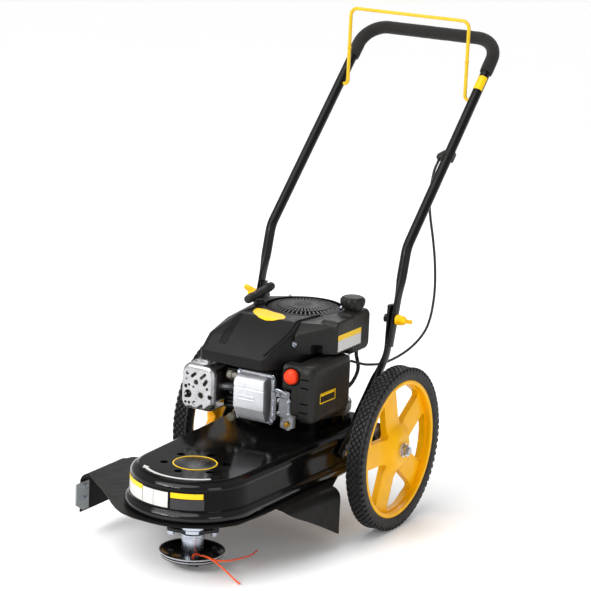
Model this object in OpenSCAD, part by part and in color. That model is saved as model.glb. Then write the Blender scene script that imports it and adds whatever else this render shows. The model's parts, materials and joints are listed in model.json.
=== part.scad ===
// Wheeled string trimmer: a pressed deck on two tall wheels, a vertical-shaft engine over the
// axle, a belt drive forward to a cutting head at the nose, and a folding push handle.
// +Z up, -Y forward, +X the machine's left. Origin on the ground under the cutting head's axis.

/* [Chassis] */
// Outside diameter of each wheel
wheel_d = 356; // [350:1:358]
// Distance between the two wheels' middle planes
track = 432; // [430:1:440]
// Distance from the cutting head's axis back to the wheel axle
wheel_base = 450; // [448:1:452]
// Width of each tyre
tyre_w = 40; // [36:1:42]
// Radius of the deck's round nose
nose_r = 131; // [129:1:133]
// Half width of the deck at its rear end
deck_half = 150; // [148:1:150]

/* [Guard] */
// Height of the guard sheet above the ground
guard_z = 134; // [133:1:136]
// Thickness of the guard sheet
guard_t = 2.5; // [2:0.1:3]
// Reach of the cutter-side wing from the middle
wing_x = 293; // [285:1:300]

/* [Handle] */
// Diameter of the handle tubes
tube_d = 22; // [20:0.5:22]
// Distance of each upper handle tube from the middle
handle_x = 170; // [170:1:172]
// Diameter of the foam grip
grip_d = 30; // [28:1:32]
// Diameter of the bail rod
bail_d = 8; // [7:0.5:9]

/* [Drive] */
// Radius of the engine pulley
eng_pulley_r = 38; // [34:1:40]
// Radius of the spindle pulley
spin_pulley_r = 50; // [46:1:54]
// Diameter of the trim line
line_d = 4; // [3:0.1:4]

/* [Hidden] */
$fn = 48;

axle_z = wheel_d / 2;
deck_z = 217;               // flat top of the deck
crank_y = wheel_base - 35;  // crankshaft axis
eng_z = deck_z + 26;        // engine seat
hy = 510; hz = 443;         // handle pivot
E = [0, crank_y, eng_z];

black = [0.06, 0.06, 0.065];
yellow = [0.95, 0.70, 0.02];

// ---------- shared shapes ----------
function rr(w, l, r, n = 5) = [for (c = [[1, 1, 0], [-1, 1, 90], [-1, -1, 180], [1, -1, 270]]) for (i = [0:n])
  [c[0] * (w / 2 - r) + r * cos(c[2] + 90 * i / n), c[1] * (l / 2 - r) + r * sin(c[2] + 90 * i / n)]];
module rbox(w, l, h, r) { linear_extrude(h) polygon(rr(w, l, r)); }
// box between two corners, vertical edges rounded
module cbox(a, b, r) { translate([(a[0] + b[0]) / 2, (a[1] + b[1]) / 2, a[2]]) rbox(b[0] - a[0], b[1] - a[1], b[2] - a[2], r); }
// box between two corners, edges along X rounded
module xbox(a, b, r) { translate([a[0], (a[1] + b[1]) / 2, (a[2] + b[2]) / 2]) rotate([90, 0, 90]) rbox(b[1] - a[1], b[2] - a[2], b[0] - a[0], r); }
// box between two corners, edges along Y rounded
module ybox(a, b, r) { translate([(a[0] + b[0]) / 2, b[1], (a[2] + b[2]) / 2]) rotate([90, 0, 0]) rbox(b[0] - a[0], b[2] - a[2], b[1] - a[1], r); }
module xcyl(x0, x1, y, z, r) { translate([x0, y, z]) rotate([0, 90, 0]) cylinder(h = x1 - x0, r = r); }
module ycyl(y0, y1, x, z, r) { translate([x, y0, z]) rotate([-90, 0, 0]) cylinder(h = y1 - y0, r = r); }

function unit(v) = v / norm(v);
// round bar along a bent line: straight runs and true elbows
module pipe(p, r, br) {
  n = len(p);
  d = [for (i = [0:n - 2]) unit(p[i + 1] - p[i])];
  a = [for (i = [0:n - 1]) (i == 0 || i == n - 1) ? 0 : acos(min(1, d[i - 1] * d[i]))];
  t = [for (i = [0:n - 1]) br * tan(a[i] / 2)];
  for (i = [0:n - 2]) {
    s = p[i] + d[i] * t[i];
    l = norm(p[i + 1] - p[i]) - t[i] - t[i + 1];
    translate(s) rotate([0, acos(d[i][2]), atan2(d[i][1], d[i][0])]) cylinder(h = l, r = r);
  }
  for (i = [1:n - 2]) {
    k = unit(cross(d[i - 1], d[i]));
    x = -cross(k, d[i - 1]);
    c = p[i] - d[i - 1] * t[i] - x * br;
    y = d[i - 1];
    multmatrix([[x[0], y[0], k[0], c[0]], [x[1], y[1], k[1], c[1]], [x[2], y[2], k[2], c[2]], [0, 0, 0, 1]])
      rotate_extrude(angle = a[i]) translate([br, 0]) circle(r = r);
  }
}

// soft tube swept through a row of points
function cr(a, b, c, d, t) = 0.5 * (2 * b + (c - a) * t + (2 * a - 5 * b + 4 * c - d) * t * t + (3 * b - a - 3 * c + d) * t * t * t);
function path(p, m) = [for (i = [0:len(p) - 2]) for (j = [0:m - 1]) cr(p[max(i - 1, 0)], p[i], p[i + 1], p[min(i + 2, len(p) - 1)], j / m), p[len(p) - 1]];
// k holds one pair per ring: how much the section is squeezed across X, and stretched the other way
module sweep(q, r, s, k = []) {
  n = len(q);
  sq = [for (i = [0:n - 1]) len(k) > i ? k[i] : [1, 1]];
  tg = [for (i = [0:n - 1]) unit(q[min(i + 1, n - 1)] - q[max(i - 1, 0)])];
  ref = unit([0.9, 0.12, 0.41]);
  u = [for (i = [0:n - 1]) unit(cross(tg[i], ref))];
  v = [for (i = [0:n - 1]) cross(tg[i], u[i])];
  pts = [for (i = [0:n - 1]) for (k = [0:s - 1]) 
    let (o = r * (cos(360 * k / s) * u[i] + sin(360 * k / s) * v[i])) q[i] + [o[0] * sq[i][0], o[1] * sq[i][1], o[2] * sq[i][1]]];
  fcs = concat([[for (k = [0:s - 1]) k]], [[for (k = [0:s - 1]) (n - 1) * s + s - 1 - k]],
    [for (i = [0:n - 2]) for (k = [0:s - 1]) [i * s + k, (i + 1) * s + k, (i + 1) * s + (k + 1) % s]],
    [for (i = [0:n - 2]) for (k = [0:s - 1]) [i * s + k, (i + 1) * s + (k + 1) % s, i * s + (k + 1) % s]]);
  polyhedron(points = pts, faces = fcs);
}
// points along a bent line with its corners rounded to radius br, m steps to a corner
function bent(p, br, m) = [for (i = [0:len(p) - 1])
  let (e = i == 0 || i == len(p) - 1, d0 = e ? [0, 0, 1] : unit(p[i] - p[i - 1]), d1 = e ? [0, 1, 0] : unit(p[i + 1] - p[i]),
    a = acos(min(1, d0 * d1)), t = br * tan(a / 2), k = unit(cross(d0, d1)), x = -cross(k, d0), c = p[i] - d0 * t - x * br)
  for (j = [0:e ? 0 : m]) e ? p[i] : c + br * (cos(a * j / m) * x + sin(a * j / m) * d0)];

// ---------- chassis ----------
// plan of the deck, grown by o
function deck_plan(o) = concat(
  [for (i = [0:24]) [(nose_r + o) * cos(180 + 7.5 * i), (nose_r + o) * sin(180 + 7.5 * i)]],
  [for (i = [0:6]) [deck_half - 40 + (40 + o) * cos(15 * i), 490 + (40 + o) * sin(15 * i)]],
  [for (i = [0:6]) [-deck_half + 40 - (40 + o) * sin(15 * i), 490 + (40 + o) * cos(15 * i)]]);
module slab(o, z0, z1) { translate([0, 0, z0]) linear_extrude(z1 - z0) polygon(deck_plan(o)); }

module deck_shell() {
  color(black) difference() {
    union() {
      slab(0, guard_z, 204);
      hull() { slab(0, 203.9, 204); slab(-4, 212.9, 213); }
      hull() { slab(-4, 212.9, 213); slab(-13, deck_z - 0.1, deck_z); }
      slab(9, guard_z, guard_z + 3);
      slab(8, guard_z + 12, guard_z + 21);
    }
    slab(-3, guard_z - 1, 201);
    hull() { slab(-3, 200.9, 201); slab(-15, deck_z - 3.1, deck_z - 3); }
    for (i = [0:5]) rotate([0, 0, 30 + 60 * i]) translate([63, 0, 190]) cylinder(h = 40, r = 8.5);
    translate([0, crank_y, 190]) cylinder(h = 40, r = 60);
    xcyl(-200, 200, wheel_base, axle_z, 8);
    for (q = foot_bolts) xcyl(-200, 200, q[0], q[1], 4);
    for (i = [0:2]) translate([0, crank_y, 190]) rotate([0, 0, 30 + 120 * i]) translate([100, 0, 0]) cylinder(h = 40, r = 4);
  }
}

module engine_base_ring() {
  color(black) translate([0, crank_y, deck_z]) difference() {
    union() {
      cylinder(h = 26, r = 110);
      intersection() { translate([0, -27, 0]) cylinder(h = 10, r = 126); translate([-111, -200, 0]) cube([222, 400, 10]); }
    }
    translate([0, 0, -1]) cylinder(h = 40, r = 60);
    for (i = [0:2]) rotate([0, 0, 30 + 120 * i]) translate([100, 0, -1]) cylinder(h = 40, r = 4);
  }
}

// guard sheet: flat under the deck, bent down into a wing on each side
bend_r = 22;
module bend_profile(down) {
  // sheet section in X-Z: a short flat tongue, a quarter bend, then straight down
  ro = bend_r; ri = bend_r - guard_t;
  polygon(concat([[-3, 0]], [for (i = [0:8]) [ro * sin(90 * i / 8), -ro + ro * cos(90 * i / 8)]],
    [[ro, -down], [ri, -down]], [for (i = [8:-1:0]) [ri * sin(90 * i / 8), -ro + ri * cos(90 * i / 8)]], [[-3, -guard_t]]));
}
module guard_plate() {
  fx = wing_x - bend_r;
  color(black) difference() {
    union() {
      translate([0, 0, guard_z - guard_t]) linear_extrude(guard_t) polygon(concat(
        [for (i = [0:12]) [154 * cos(266 + 6 * i), 154 * sin(266 + 6 * i)]],
        [[152, 30], [150.6, 70], [173.6, 262], [150, 330], [150, 525], [-150, 525], [-150, 250], [-190, 205], [-fx + 6, 168], [-fx + 1.5, 150]],
        [[-fx + 1.5, 14], [-190, -48], [-140, -96], [-110, -123], [-79, -142], [-45, -151]]));
      // cutter-side wing
      translate([-fx, 150, guard_z]) rotate([90, 0, 0]) mirror([1, 0, 0]) linear_extrude(136) bend_profile(88);
      // plain wing, its lower edge cut off on a slant
      intersection() {
        translate([175, 262, guard_z]) rotate([0, 0, -atan2(23, 192)]) rotate([90, 0, 0]) linear_extrude(192) bend_profile(98);
        translate([300, 0, 0]) rotate([90, 0, -90]) linear_extrude(200) polygon([[-270, 30], [-262, 33], [-190, 70], [-120, 100], [-70, 118], [-70, 140], [-270, 140]]);
      }
    }
    translate([0, 0, guard_z - 10]) cylinder(h = 20, r = 30);
    for (i = [0:1]) rotate([0, 0, 30 + 180 * i]) translate([44, 0, guard_z - 10]) cylinder(h = 20, r = 4);
    for (z = [74, 102]) xcyl(-wing_x - 5, -wing_x + 10, 26, z, 3);
  }
}
module line_cutter_blade() {
  color([0.55, 0.57, 0.6]) difference() {
    translate([-wing_x + guard_t, 0, 0]) rotate([90, 0, 90]) linear_extrude(3) polygon([[-6, 112], [40, 112], [40, 50], [20, 50], [-6, 66]]);
    for (z = [74, 102]) xcyl(-wing_x - 5, -wing_x + 10, 26, z, 3);
  }
}
// every bolt that holds the chassis and engine together
module chassis_fasteners() {
  color([0.7, 0.72, 0.75]) {
    for (z = [74, 102]) {
      xcyl(-wing_x, -wing_x + guard_t + 3, 26, z, 3);
      translate([-wing_x + guard_t + 3, 26, z]) rotate([0, 90, 0]) cylinder(h = 4, r = 6, $fn = 6);
      xcyl(-wing_x - 4, -wing_x, 26, z, 6);
    }
    for (m = [0, 1], q = foot_bolts) mirror([m, 0, 0]) {
      xcyl(134, 157, q[0], q[1], 4);
      translate([156.6, q[0], q[1]]) rotate([0, 90, 0]) cylinder(h = 5, r = 6, $fn = 6);
      translate([133, q[0], q[1]]) rotate([0, 90, 0]) cylinder(h = 5, r = 6, $fn = 6);
    }
    for (i = [0:1]) rotate([0, 0, 30 + 180 * i]) translate([44, 0, 0]) {
      translate([0, 0, 72]) cylinder(h = guard_z - 72, r = 4);
      translate([0, 0, 64]) cylinder(h = 8, r = 7.5, $fn = 6);
      translate([0, 0, guard_z]) cylinder(h = 6, r = 7.5, $fn = 6);
    }
    translate(E) for (i = [0:2]) rotate([0, 0, 30 + 120 * i]) translate([100, 0, -34]) {
      cylinder(h = 46, r = 4);
      translate([0, 0, 46]) cylinder(h = 7, r = 8, $fn = 6);
    }
    translate(E) for (x = [-40, 40], z = [12, 110]) ycyl(-193, -188, x, z, 3.5);
  }
}

module axle_brackets() {
  color(black) for (s = [-1, 1]) difference() {
    union() {
      xbox([s > 0 ? 160 : -166, wheel_base - 34, guard_z + 21.5], [s > 0 ? 166 : -160, wheel_base + 34, deck_z + 2], 14);
      xcyl(s > 0 ? 166 : -172, s > 0 ? 172 : -166, wheel_base, axle_z, 16);
      xbox([s > 0 ? 150 : -160, wheel_base - 20, guard_z + 40], [s > 0 ? 160 : -150, wheel_base + 20, deck_z - 20], 6);
    }
    xcyl(-200, 200, wheel_base, axle_z, 8);
    slab(0, 100, 204);
  }
}
hub_in = 191; hub_out = 241;
module stub_axles() {
  color([0.6, 0.62, 0.64]) for (m = [0, 1]) mirror([m, 0, 0]) { xcyl(138, 256, wheel_base, axle_z, 8); xcyl(132, 138, wheel_base, axle_z, 15); }
}
module axle_nuts() {
  color([0.75, 0.76, 0.78]) for (s = [-1, 1]) difference() {
    union() {
      xcyl(s > 0 ? hub_out + 0.4 : -hub_out - 2.4, s > 0 ? hub_out + 2.4 : -hub_out - 0.4, wheel_base, axle_z, 15);
      translate([s > 0 ? hub_out + 2.4 : -hub_out - 11, wheel_base, axle_z]) rotate([0, 90, 0]) cylinder(h = 8.6, r = 13.5, $fn = 6);
      xcyl(s > 0 ? 172 : -hub_in + 0.4, s > 0 ? hub_in - 0.4 : -172, wheel_base, axle_z, 13);
    }
    xcyl(-300, 300, wheel_base, axle_z, 8);
  }
}

// ---------- wheels ----------
rim_r = 150;
module tyre() {
  hw = tyre_w / 2; R = wheel_d / 2;
  color([0.05, 0.05, 0.05]) rotate([0, 90, 0]) rotate_extrude($fn = 96) polygon([
    [rim_r, -hw + 4], [rim_r + 4, -hw + 1], [rim_r + 14, -hw], [R - 8, -hw + 2], [R - 2.5, -hw + 6], [R, -hw + 13],
    [R, hw - 13], [R - 2.5, hw - 6], [R - 8, hw - 2], [rim_r + 14, hw], [rim_r + 4, hw - 1], [rim_r, hw - 4]]);
}
module window() {
  // rounded triangle, its tip towards the hub
  hull() { translate([56, 0]) circle(5, $fn = 24); for (s = [-1, 1]) translate([123, s * 44.5]) circle(9, $fn = 24); }
}
module rim() {
  color(yellow) difference() {
    union() {
      rotate([0, 90, 0]) rotate_extrude($fn = 96) polygon([[142, -15], [rim_r, -16], [rim_r, 16], [142, 17], [140, 15], [142, 2], [142, -2]]);
      difference() {
        rotate([0, 90, 0]) translate([0, 0, -12]) cylinder(h = 14, r = 143, $fn = 96);
        for (i = [0:4]) rotate([75 + 72 * i, 0, 0]) rotate([0, 90, 0]) translate([0, 0, -20]) linear_extrude(40) rotate(90) window();
      }
      rotate([0, 90, 0]) translate([0, 0, -25]) cylinder(h = 50, r = 28);
      for (i = [0:4]) rotate([39 + 72 * i, 0, 0]) translate([-2, 20, -6]) cube([7, 120, 12]);
    }
    rotate([0, 90, 0]) translate([0, 0, -40]) cylinder(h = 80, r = 13);
  }
}
module bush() {
  color([0.85, 0.84, 0.8]) rotate([0, 90, 0]) difference() {
    union() { translate([0, 0, -25]) cylinder(h = 50, r = 13); }
    translate([0, 0, -40]) cylinder(h = 80, r = 8.05);
  }
}
module at_wheel(s) { translate([s * track / 2, wheel_base, axle_z]) mirror([s < 0 ? 1 : 0, 0, 0]) children(); }
module left_tyre() { at_wheel(1) tyre(); }
module left_rim() { at_wheel(1) rim(); }
module left_hub_bush() { at_wheel(1) bush(); }
module right_tyre() { at_wheel(-1) tyre(); }
module right_rim() { at_wheel(-1) rotate([35, 0, 0]) rim(); }
module right_hub_bush() { at_wheel(-1) bush(); }

// ---------- handle ----------
flat = [0.45, 1.28];         // section of a flattened tube end
low_x = handle_x - 0.9 * tube_d / 2 - 0.4;
foot = [149.6, 335, 176]; knee = [low_x, 506, 366]; low_top = [low_x, 511, 474];
function leg(t) = foot + (knee - foot) * t;
low_line = concat([foot, leg(0.24), leg(0.42), leg(0.74), leg(0.86)],
  [for (i = [1:7]) bent([foot, knee, low_top], 60, 6)[i]], [low_top]);
low_flat = [for (i = [0:12]) (i == 2 || i == 3) ? [1, 1] : flat];
foot_bolts = [[341, 182.7], [351.3, 194.1]];
module lower_tube(s) {
  color(black) difference() {
    mirror([s < 0 ? 1 : 0, 0, 0]) sweep(low_line, tube_d / 2, 20, low_flat);
    xcyl(-300, 300, hy, hz, 4);
    for (q = foot_bolts) xcyl(-300, 300, q[0], q[1], 4);
  }
}
module lower_handle_left() { lower_tube(1); }
module lower_handle_right() { lower_tube(-1); }
knob_in = handle_x + 0.45 * tube_d / 2 + 0.5;
module handle_pivot_bolts() {
  color([0.7, 0.72, 0.75]) for (s = [-1, 1]) {
    xcyl(s > 0 ? low_x - 8 : -knob_in - 14, s > 0 ? knob_in + 14 : -low_x + 8, hy, hz, 4);
    xcyl(s > 0 ? low_x - 12 : -low_x + 5, s > 0 ? low_x - 5 : -low_x + 12, hy, hz, 9);
  }
}
// wing knob on the outer end of the pivot bolt, its wings flaring outwards
module knob(s) {
  color(yellow) translate([s * knob_in, hy, hz]) mirror([s < 0 ? 1 : 0, 0, 0]) difference() {
    union() {
      rotate([0, 90, 0]) cylinder(h = 15, r = 11.5);
      rotate([s > 0 ? -16 : 115, 0, 0]) for (m = [-1, 1]) translate([0, 0, 4.5]) rotate([180, 0, 0]) linear_extrude(9)
        polygon([[2, m * 8], [10, m * 13], [25, m * 19], [30, m * 17.5], [30, m * 11], [18, m * 4], [16, 0], [2, 0]]);
    }
    rotate([0, 90, 0]) translate([0, 0, -1]) cylinder(h = 15.2, r = 4.05);
  }
}
module knob_left() { knob(1); }
module knob_right() { knob(-1); }
bar_top = [949, 1000]; bend_pt = [550, 594];
function hp(t) = [bend_pt[0] + (bar_top[0] - bend_pt[0]) * t, bend_pt[1] + (bar_top[1] - bend_pt[1]) * t];
h_pts = [[handle_x, 495, 385], [handle_x, bend_pt[0], bend_pt[1]], [handle_x, bar_top[0], bar_top[1]],
  [-handle_x, bar_top[0], bar_top[1]], [-handle_x, bend_pt[0], bend_pt[1]], [-handle_x, 495, 385]];
bail_p = hp(0.70);          // bail pivot on the tube
bail_x = 149;
half_line = [for (i = [1:14]) bent(h_pts, 56, 6)[i]];
handle_line = concat([h_pts[0], [handle_x, 520.5, 482], [handle_x, 533.4, 531]], half_line, [for (i = [13:-1:0]) [-half_line[i][0], half_line[i][1], half_line[i][2]]],
  [[-handle_x, 533.4, 531], [-handle_x, 520.5, 482], h_pts[5]]);
handle_flat = concat([flat, flat], [for (i = [0:29]) [1, 1]], [flat, flat]);
module upper_handle() {
  color(black) difference() {
    sweep(handle_line, tube_d / 2, 20, handle_flat);
    for (s = [-1, 1]) {
      xcyl(s * handle_x - 20, s * handle_x + 20, hy, hz, 4.06);
      xcyl(s > 0 ? handle_x - 20 : -handle_x - 2, s > 0 ? handle_x + 2 : -handle_x + 20, bail_p[0], bail_p[1], bail_d / 2 + 0.06);
    }
  }
}
module cable_clamp() {
  c = hp(0.44);
  color(black) difference() {
    translate([handle_x, c[0], c[1]]) rotate([-44.5, 0, 0]) translate([-26, -12.5, -13]) cube([38, 25, 24]);
    sweep(handle_line, tube_d / 2, 20);
  }
}
module foam_grip() {
  a = hp(0.8375);
  g = bent([[handle_x, a[0], a[1]], h_pts[2], h_pts[3], [-handle_x, a[0], a[1]]], 56, 6);
  color([0.04, 0.04, 0.04]) difference() { sweep(g, grip_d / 2, 20); sweep(handle_line, tube_d / 2, 20); }
}
module bail() {
  y = bail_p[0]; z = bail_p[1];
  color([0.92, 0.78, 0.12]) {
    for (m = [0, 1]) mirror([m, 0, 0]) pipe([[handle_x - 1, y, z], [bail_x, y, z], [bail_x, y, z + 60]], bail_d / 2, 9);
    pipe([[bail_x, y, z + 60], [bail_x, y, 1052], [-bail_x, y, 1052], [-bail_x, y, z + 60]], bail_d / 2, 17);
  }
}
cable_pts = [[148, 721, 757], [147, 703, 733], [147, 690, 685], [147, 696, 640], [147, 718, 578], [147, 734, 520], [147, 740, 455],
  [147, 725, 397], [147, 690, 365], [146, 620, 344], [142, 530, 337], [141, 455, 349], [138, 415, 361], [133, 394, 369]];
module control_cable() { color([0.07, 0.07, 0.07]) sweep(path(cable_pts, 2), 3, 8); }

// ---------- drive ----------
bz = 166;  // height of the belt's lower face
module v_pulley(r, bore) {
  rotate_extrude($fn = 72) polygon([[bore, -4], [r + 4, -4], [r + 4, -2], [r - 5, 1.5], [r - 5, 9.5], [r + 4, 13], [r + 4, 15], [bore, 15]]);
}
module crankshaft() {
  color([0.62, 0.63, 0.65]) translate([0, crank_y, 0]) { translate([0, 0, bz - 8]) cylinder(h = 262, r = 12.5); }
}
module engine_pulley() { color([0.35, 0.35, 0.37]) translate([0, crank_y, bz]) v_pulley(eng_pulley_r, 12.5); }
module flywheel() {
  color([0.45, 0.45, 0.47]) translate([0, crank_y, eng_z + 137]) difference() {
    union() {
      cylinder(h = 22, r = 80);
      for (i = [0:11]) rotate([0, 0, 30 * i]) translate([44, -2, 21]) cube([32, 4, 14]);
    }
    translate([0, 0, -1]) cylinder(h = 60, r = 12.5);
  }
}
module spindle_pulley() { color([0.35, 0.35, 0.37]) translate([0, 0, bz]) v_pulley(spin_pulley_r, 12); }
// belt: outside and inside tangent lines of two circles
function belt_plan(o) = let (r1 = spin_pulley_r + o, r2 = eng_pulley_r + o, b = asin((r1 - r2) / crank_y)) concat(
  [for (i = [0:24]) let (a = 180 - b + (180 + 2 * b) * i / 24) [r1 * cos(a), r1 * sin(a)]],
  [for (i = [0:24]) let (a = b + (180 - 2 * b) * i / 24) [r2 * cos(a), crank_y + r2 * sin(a)]]);
module drive_belt() {
  color([0.1, 0.1, 0.1]) translate([0, 0, bz + 2]) linear_extrude(7) difference() { polygon(belt_plan(2)); polygon(belt_plan(-4.6)); }
}
module spindle_housing() {
  color([0.72, 0.73, 0.75]) difference() {
    union() {
      translate([0, 0, guard_z - guard_t - 8]) cylinder(h = 8, r = 56);
      translate([0, 0, 72]) cylinder(h = guard_z - 72 + 14, r = 27.5);
      hull() {
        translate([0, 0, 72]) cylinder(h = 7, r = 27.5);
        for (i = [0:1]) rotate([0, 0, 30 + 180 * i]) translate([44, 0, 72]) cylinder(h = 7, r = 9);
      }
      for (i = [0:1]) rotate([0, 0, 30 + 180 * i]) translate([44, 0, 72]) cylinder(h = 54, r = 8);
    }
    translate([0, 0, 71]) cylinder(h = 100, r = 24);
    for (i = [0:1]) rotate([0, 0, 30 + 180 * i]) translate([44, 0, 60]) cylinder(h = 80, r = 4);
  }
}
module spindle_bearings() {
  color([0.8, 0.81, 0.83]) for (z = [80, 128]) translate([0, 0, z]) difference() { cylinder(h = 16, r = 24); translate([0, 0, -1]) cylinder(h = 20, r = 12.05); }
}
// ---------- cutting head ----------
module spindle_shaft() { color([0.62, 0.63, 0.65]) translate([0, 0, 3]) cylinder(h = 185, r = 12); }
module head_hub() {
  color([0.7, 0.73, 0.8]) difference() {
    translate([0, 0, 7]) cylinder(h = 63, r = 22.5);
    cylinder(h = 90, r = 12);
    rotate([0, 0, -30]) translate([14, -7, 18]) cube([12, 14, 14]);
  }
}
module head_bolts() {
  color([0.7, 0.72, 0.75]) for (i = [0:3]) rotate([0, 0, 45 + 90 * i]) translate([46, 0, 0]) {
    translate([0, 0, 12]) cylinder(h = 15.5, r = 3.5);
    translate([0, 0, 27.5]) cylinder(h = 6, r = 6.5, $fn = 6);
  }
}
module saucer(r, z0, z1) {
  rotate_extrude($fn = 72) polygon([[22.5, z0], [r - 3, z1], [r, z1 + 1], [r, z1 + 4], [r - 3, z1 + 3], [22.5, z0 + 2.5]]);
}
module head_upper_saucer() {
  color(black) difference() { saucer(68.5, 15, 29); for (i = [0:3]) rotate([0, 0, 45 + 90 * i]) translate([46, 0, 5]) cylinder(h = 40, r = 3.5); }
}
module head_lower_saucer() {
  color(black) difference() { saucer(66, 7, 22); for (i = [0:3]) rotate([0, 0, 45 + 90 * i]) translate([46, 0, 0]) cylinder(h = 40, r = 3.5); }
}
module ground_glide() {
  color([0.12, 0.12, 0.13]) rotate_extrude($fn = 72) polygon([[0, 0], [14, 0], [15.4, 0.8], [16, 2.2], [16, 7], [12, 7], [12, 3], [0, 3]]);
}
line_a = [[20, -8, 24], [42, -22, 33], [62, -36, 39], [84, -40, 39], [100, -20, 36], [106, 20, 31], [104, 62, 25], [92, 104, 19]];
line_b = [[17, -14, 24], [42, -29, 36], [62, -42, 42], [84, -46, 38], [106, -40, 22], [124, -38, 9], [142, -42, 3]];
module trim_line_a() { color([0.95, 0.3, 0.12]) sweep(path(line_a, 2), line_d / 2, 8); }
module trim_line_b() { color([0.95, 0.3, 0.12]) sweep(path(line_b, 2), line_d / 2, 8); }

// ---------- engine, built on its own seat with the crankshaft at the origin ----------
module crankcase() {
  color([0.12, 0.12, 0.13]) translate(E) difference() {
    union() {
      cylinder(h = 12, r = 112);
      translate([0, 0, 12]) cylinder(h = 118, r = 88);
      ybox([-58, -98, 20], [58, 0, 116], 12);
      translate([104, -5, 12]) cylinder(h = 10, r = 13);
      cbox([78, -34, 112], [121, -20, 126], 4);
      xcyl(120, 131, -27, 119, 3);
    }
    translate([0, 0, -1]) cylinder(h = 160, r = 12.55);
    translate([104, -5, 13]) cylinder(h = 20, r = 9.06);
    for (i = [0:2]) rotate([0, 0, 30 + 120 * i]) translate([100, 0, -1]) cylinder(h = 20, r = 4);
  }
}
module cylinder_block() {
  color([0.5, 0.5, 0.52]) translate(E) {
    ybox([-42, -166, 22], [42, -98, 104], 10);
    ybox([-46, -180, 10], [46, -165, 113], 10);
    for (i = [0:5]) ybox([-56, -160 + 10 * i, 20], [56, -155.5 + 10 * i, 112], 8);
  }
}
module rocker_cover() {
  color([0.8, 0.81, 0.82]) translate(E) {
    ybox([-44, -188, 8], [44, -180, 114], 10);
    ybox([-40, -214, 13], [38, -188, 110], 12);
    ybox([-37, -219, 18], [33, -214, 104], 10);
  }
}
// hood over flywheel and cylinder: sloping nose, drum at the back; o grows it, d drops its foot
module hood(o, d) {
  hull() {
    // x, y, top, radius
    for (q = [[-112, -208, 153, 12], [24, -206, 153, 12], [-106, -175, 181, 18], [-106, -112, 199, 18], [-104, 40, 214, 18], [62, -140, 160, 18],
        [78, -60, 170, 16], [78, 60, 170, 16], [-46, 70, 200, 48], [46, 70, 200, 48]])
      translate([q[0], q[1], 129 - d]) cylinder(h = q[2] - 129 + d + o, r = q[3] + o, $fn = 32);
    for (q = [[50, -152, 191, 14], [54, -115, 219, 15], [-74, -115, 218, 16], [80, -15, 218, 14]])
      translate([q[0], q[1], q[2] - 14]) cylinder(h = 14 + o, r = q[3] + o, $fn = 32);
    translate([0, 0, 206]) cylinder(h = 14 + o, r = 91 + o, $fn = 32);
  }
}
grip_c = [-92, 381, 484];
module blower_housing() {
  color(black) difference() {
    union() {
      translate(E) hood(0, 0);
      translate([grip_c[0], grip_c[1], 440]) cylinder(h = 29, r = 13);
    }
    translate(E) hood(-3.5, 4);
    translate(E + [0, 0, 198]) cylinder(h = 60, r = 84);
    translate([grip_c[0], grip_c[1], 400]) cylinder(h = 90, r = 4);
  }
}
module starter_cover() {
  color(black) translate(E) difference() {
    union() {
      translate([0, 0, 208]) rotate_extrude($fn = 72) polygon([[0, 18], [40, 18], [68, 14], [80, 7], [84, 0], [81, 0], [77, 5], [66, 11], [40, 15], [0, 15]]);
      translate([0, 0, 190]) cylinder(h = 34, r = 8);
    }
    for (i = [0:35]) rotate([0, 0, 10 * i]) translate([46, -1.6, 205]) cube([24, 3.2, 30]);
    for (i = [0:17]) rotate([0, 0, 20 * i]) translate([22, -1.8, 205]) cube([18, 3.6, 30]);
  }
}
module starter_reel() {
  color([0.2, 0.2, 0.22]) translate(E + [0, 0, 194]) rotate_extrude($fn = 72) polygon([[8.05, 0], [58, 0], [58, 3], [48, 4], [48, 13], [58, 14], [58, 17], [8.05, 17]]);
}
module starter_rope() { color([0.85, 0.85, 0.82]) translate([grip_c[0], grip_c[1], 440]) cylinder(h = 32, r = 2); }
module starter_grip() {
  color([0.05, 0.05, 0.05]) translate(grip_c) rotate([7, 0, 0]) {
    ycyl(-52, 52, 0, 0, 8);
    cbox([-8, -18, -10], [8, 18, 0], 6);
  }
  color([0.05, 0.05, 0.05]) translate([grip_c[0], grip_c[1], 472]) cylinder(h = 8, r = 7);
}
module muffler_body() {
  color([0.35, 0.34, 0.33]) translate(E) {
    ybox([-154, -205, 26], [-94, -150, 106], 14);
    ycyl(-160, -130, -82, 66, 14);
    xcyl(-82, -56.2, -144, 66, 13);
  }
}
// pressed shield, pierced all over
module muffler_shield() {
  color([0.82, 0.83, 0.84]) translate(E) difference() {
    ybox([-166, -222, 14], [-82, -140, 116], 22);
    ybox([-164, -220, 16], [-84, -138, 114], 20);
    for (i = [0:5], j = [0:4]) ycyl(-230, -210, -158 + 16 * j + (i % 2 == 0 ? 4 : 10), 26 + 15.5 * i, 3.6);
    for (i = [0:3], j = [0:4]) translate([0, 0, 0]) xcyl(-175, -155, -210 + 15 * j, 42 + 15.5 * i, 3.4);
    for (i = [0:3], j = [0:4]) translate([-148 + 16 * i, -210 + 15 * j, 105]) cylinder(h = 20, r = 3.4);
    xcyl(-90, -70, -145, 66, 16);
    translate([-90, -175, 50]) cube([20, 40, 32]);
  }
}
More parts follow.
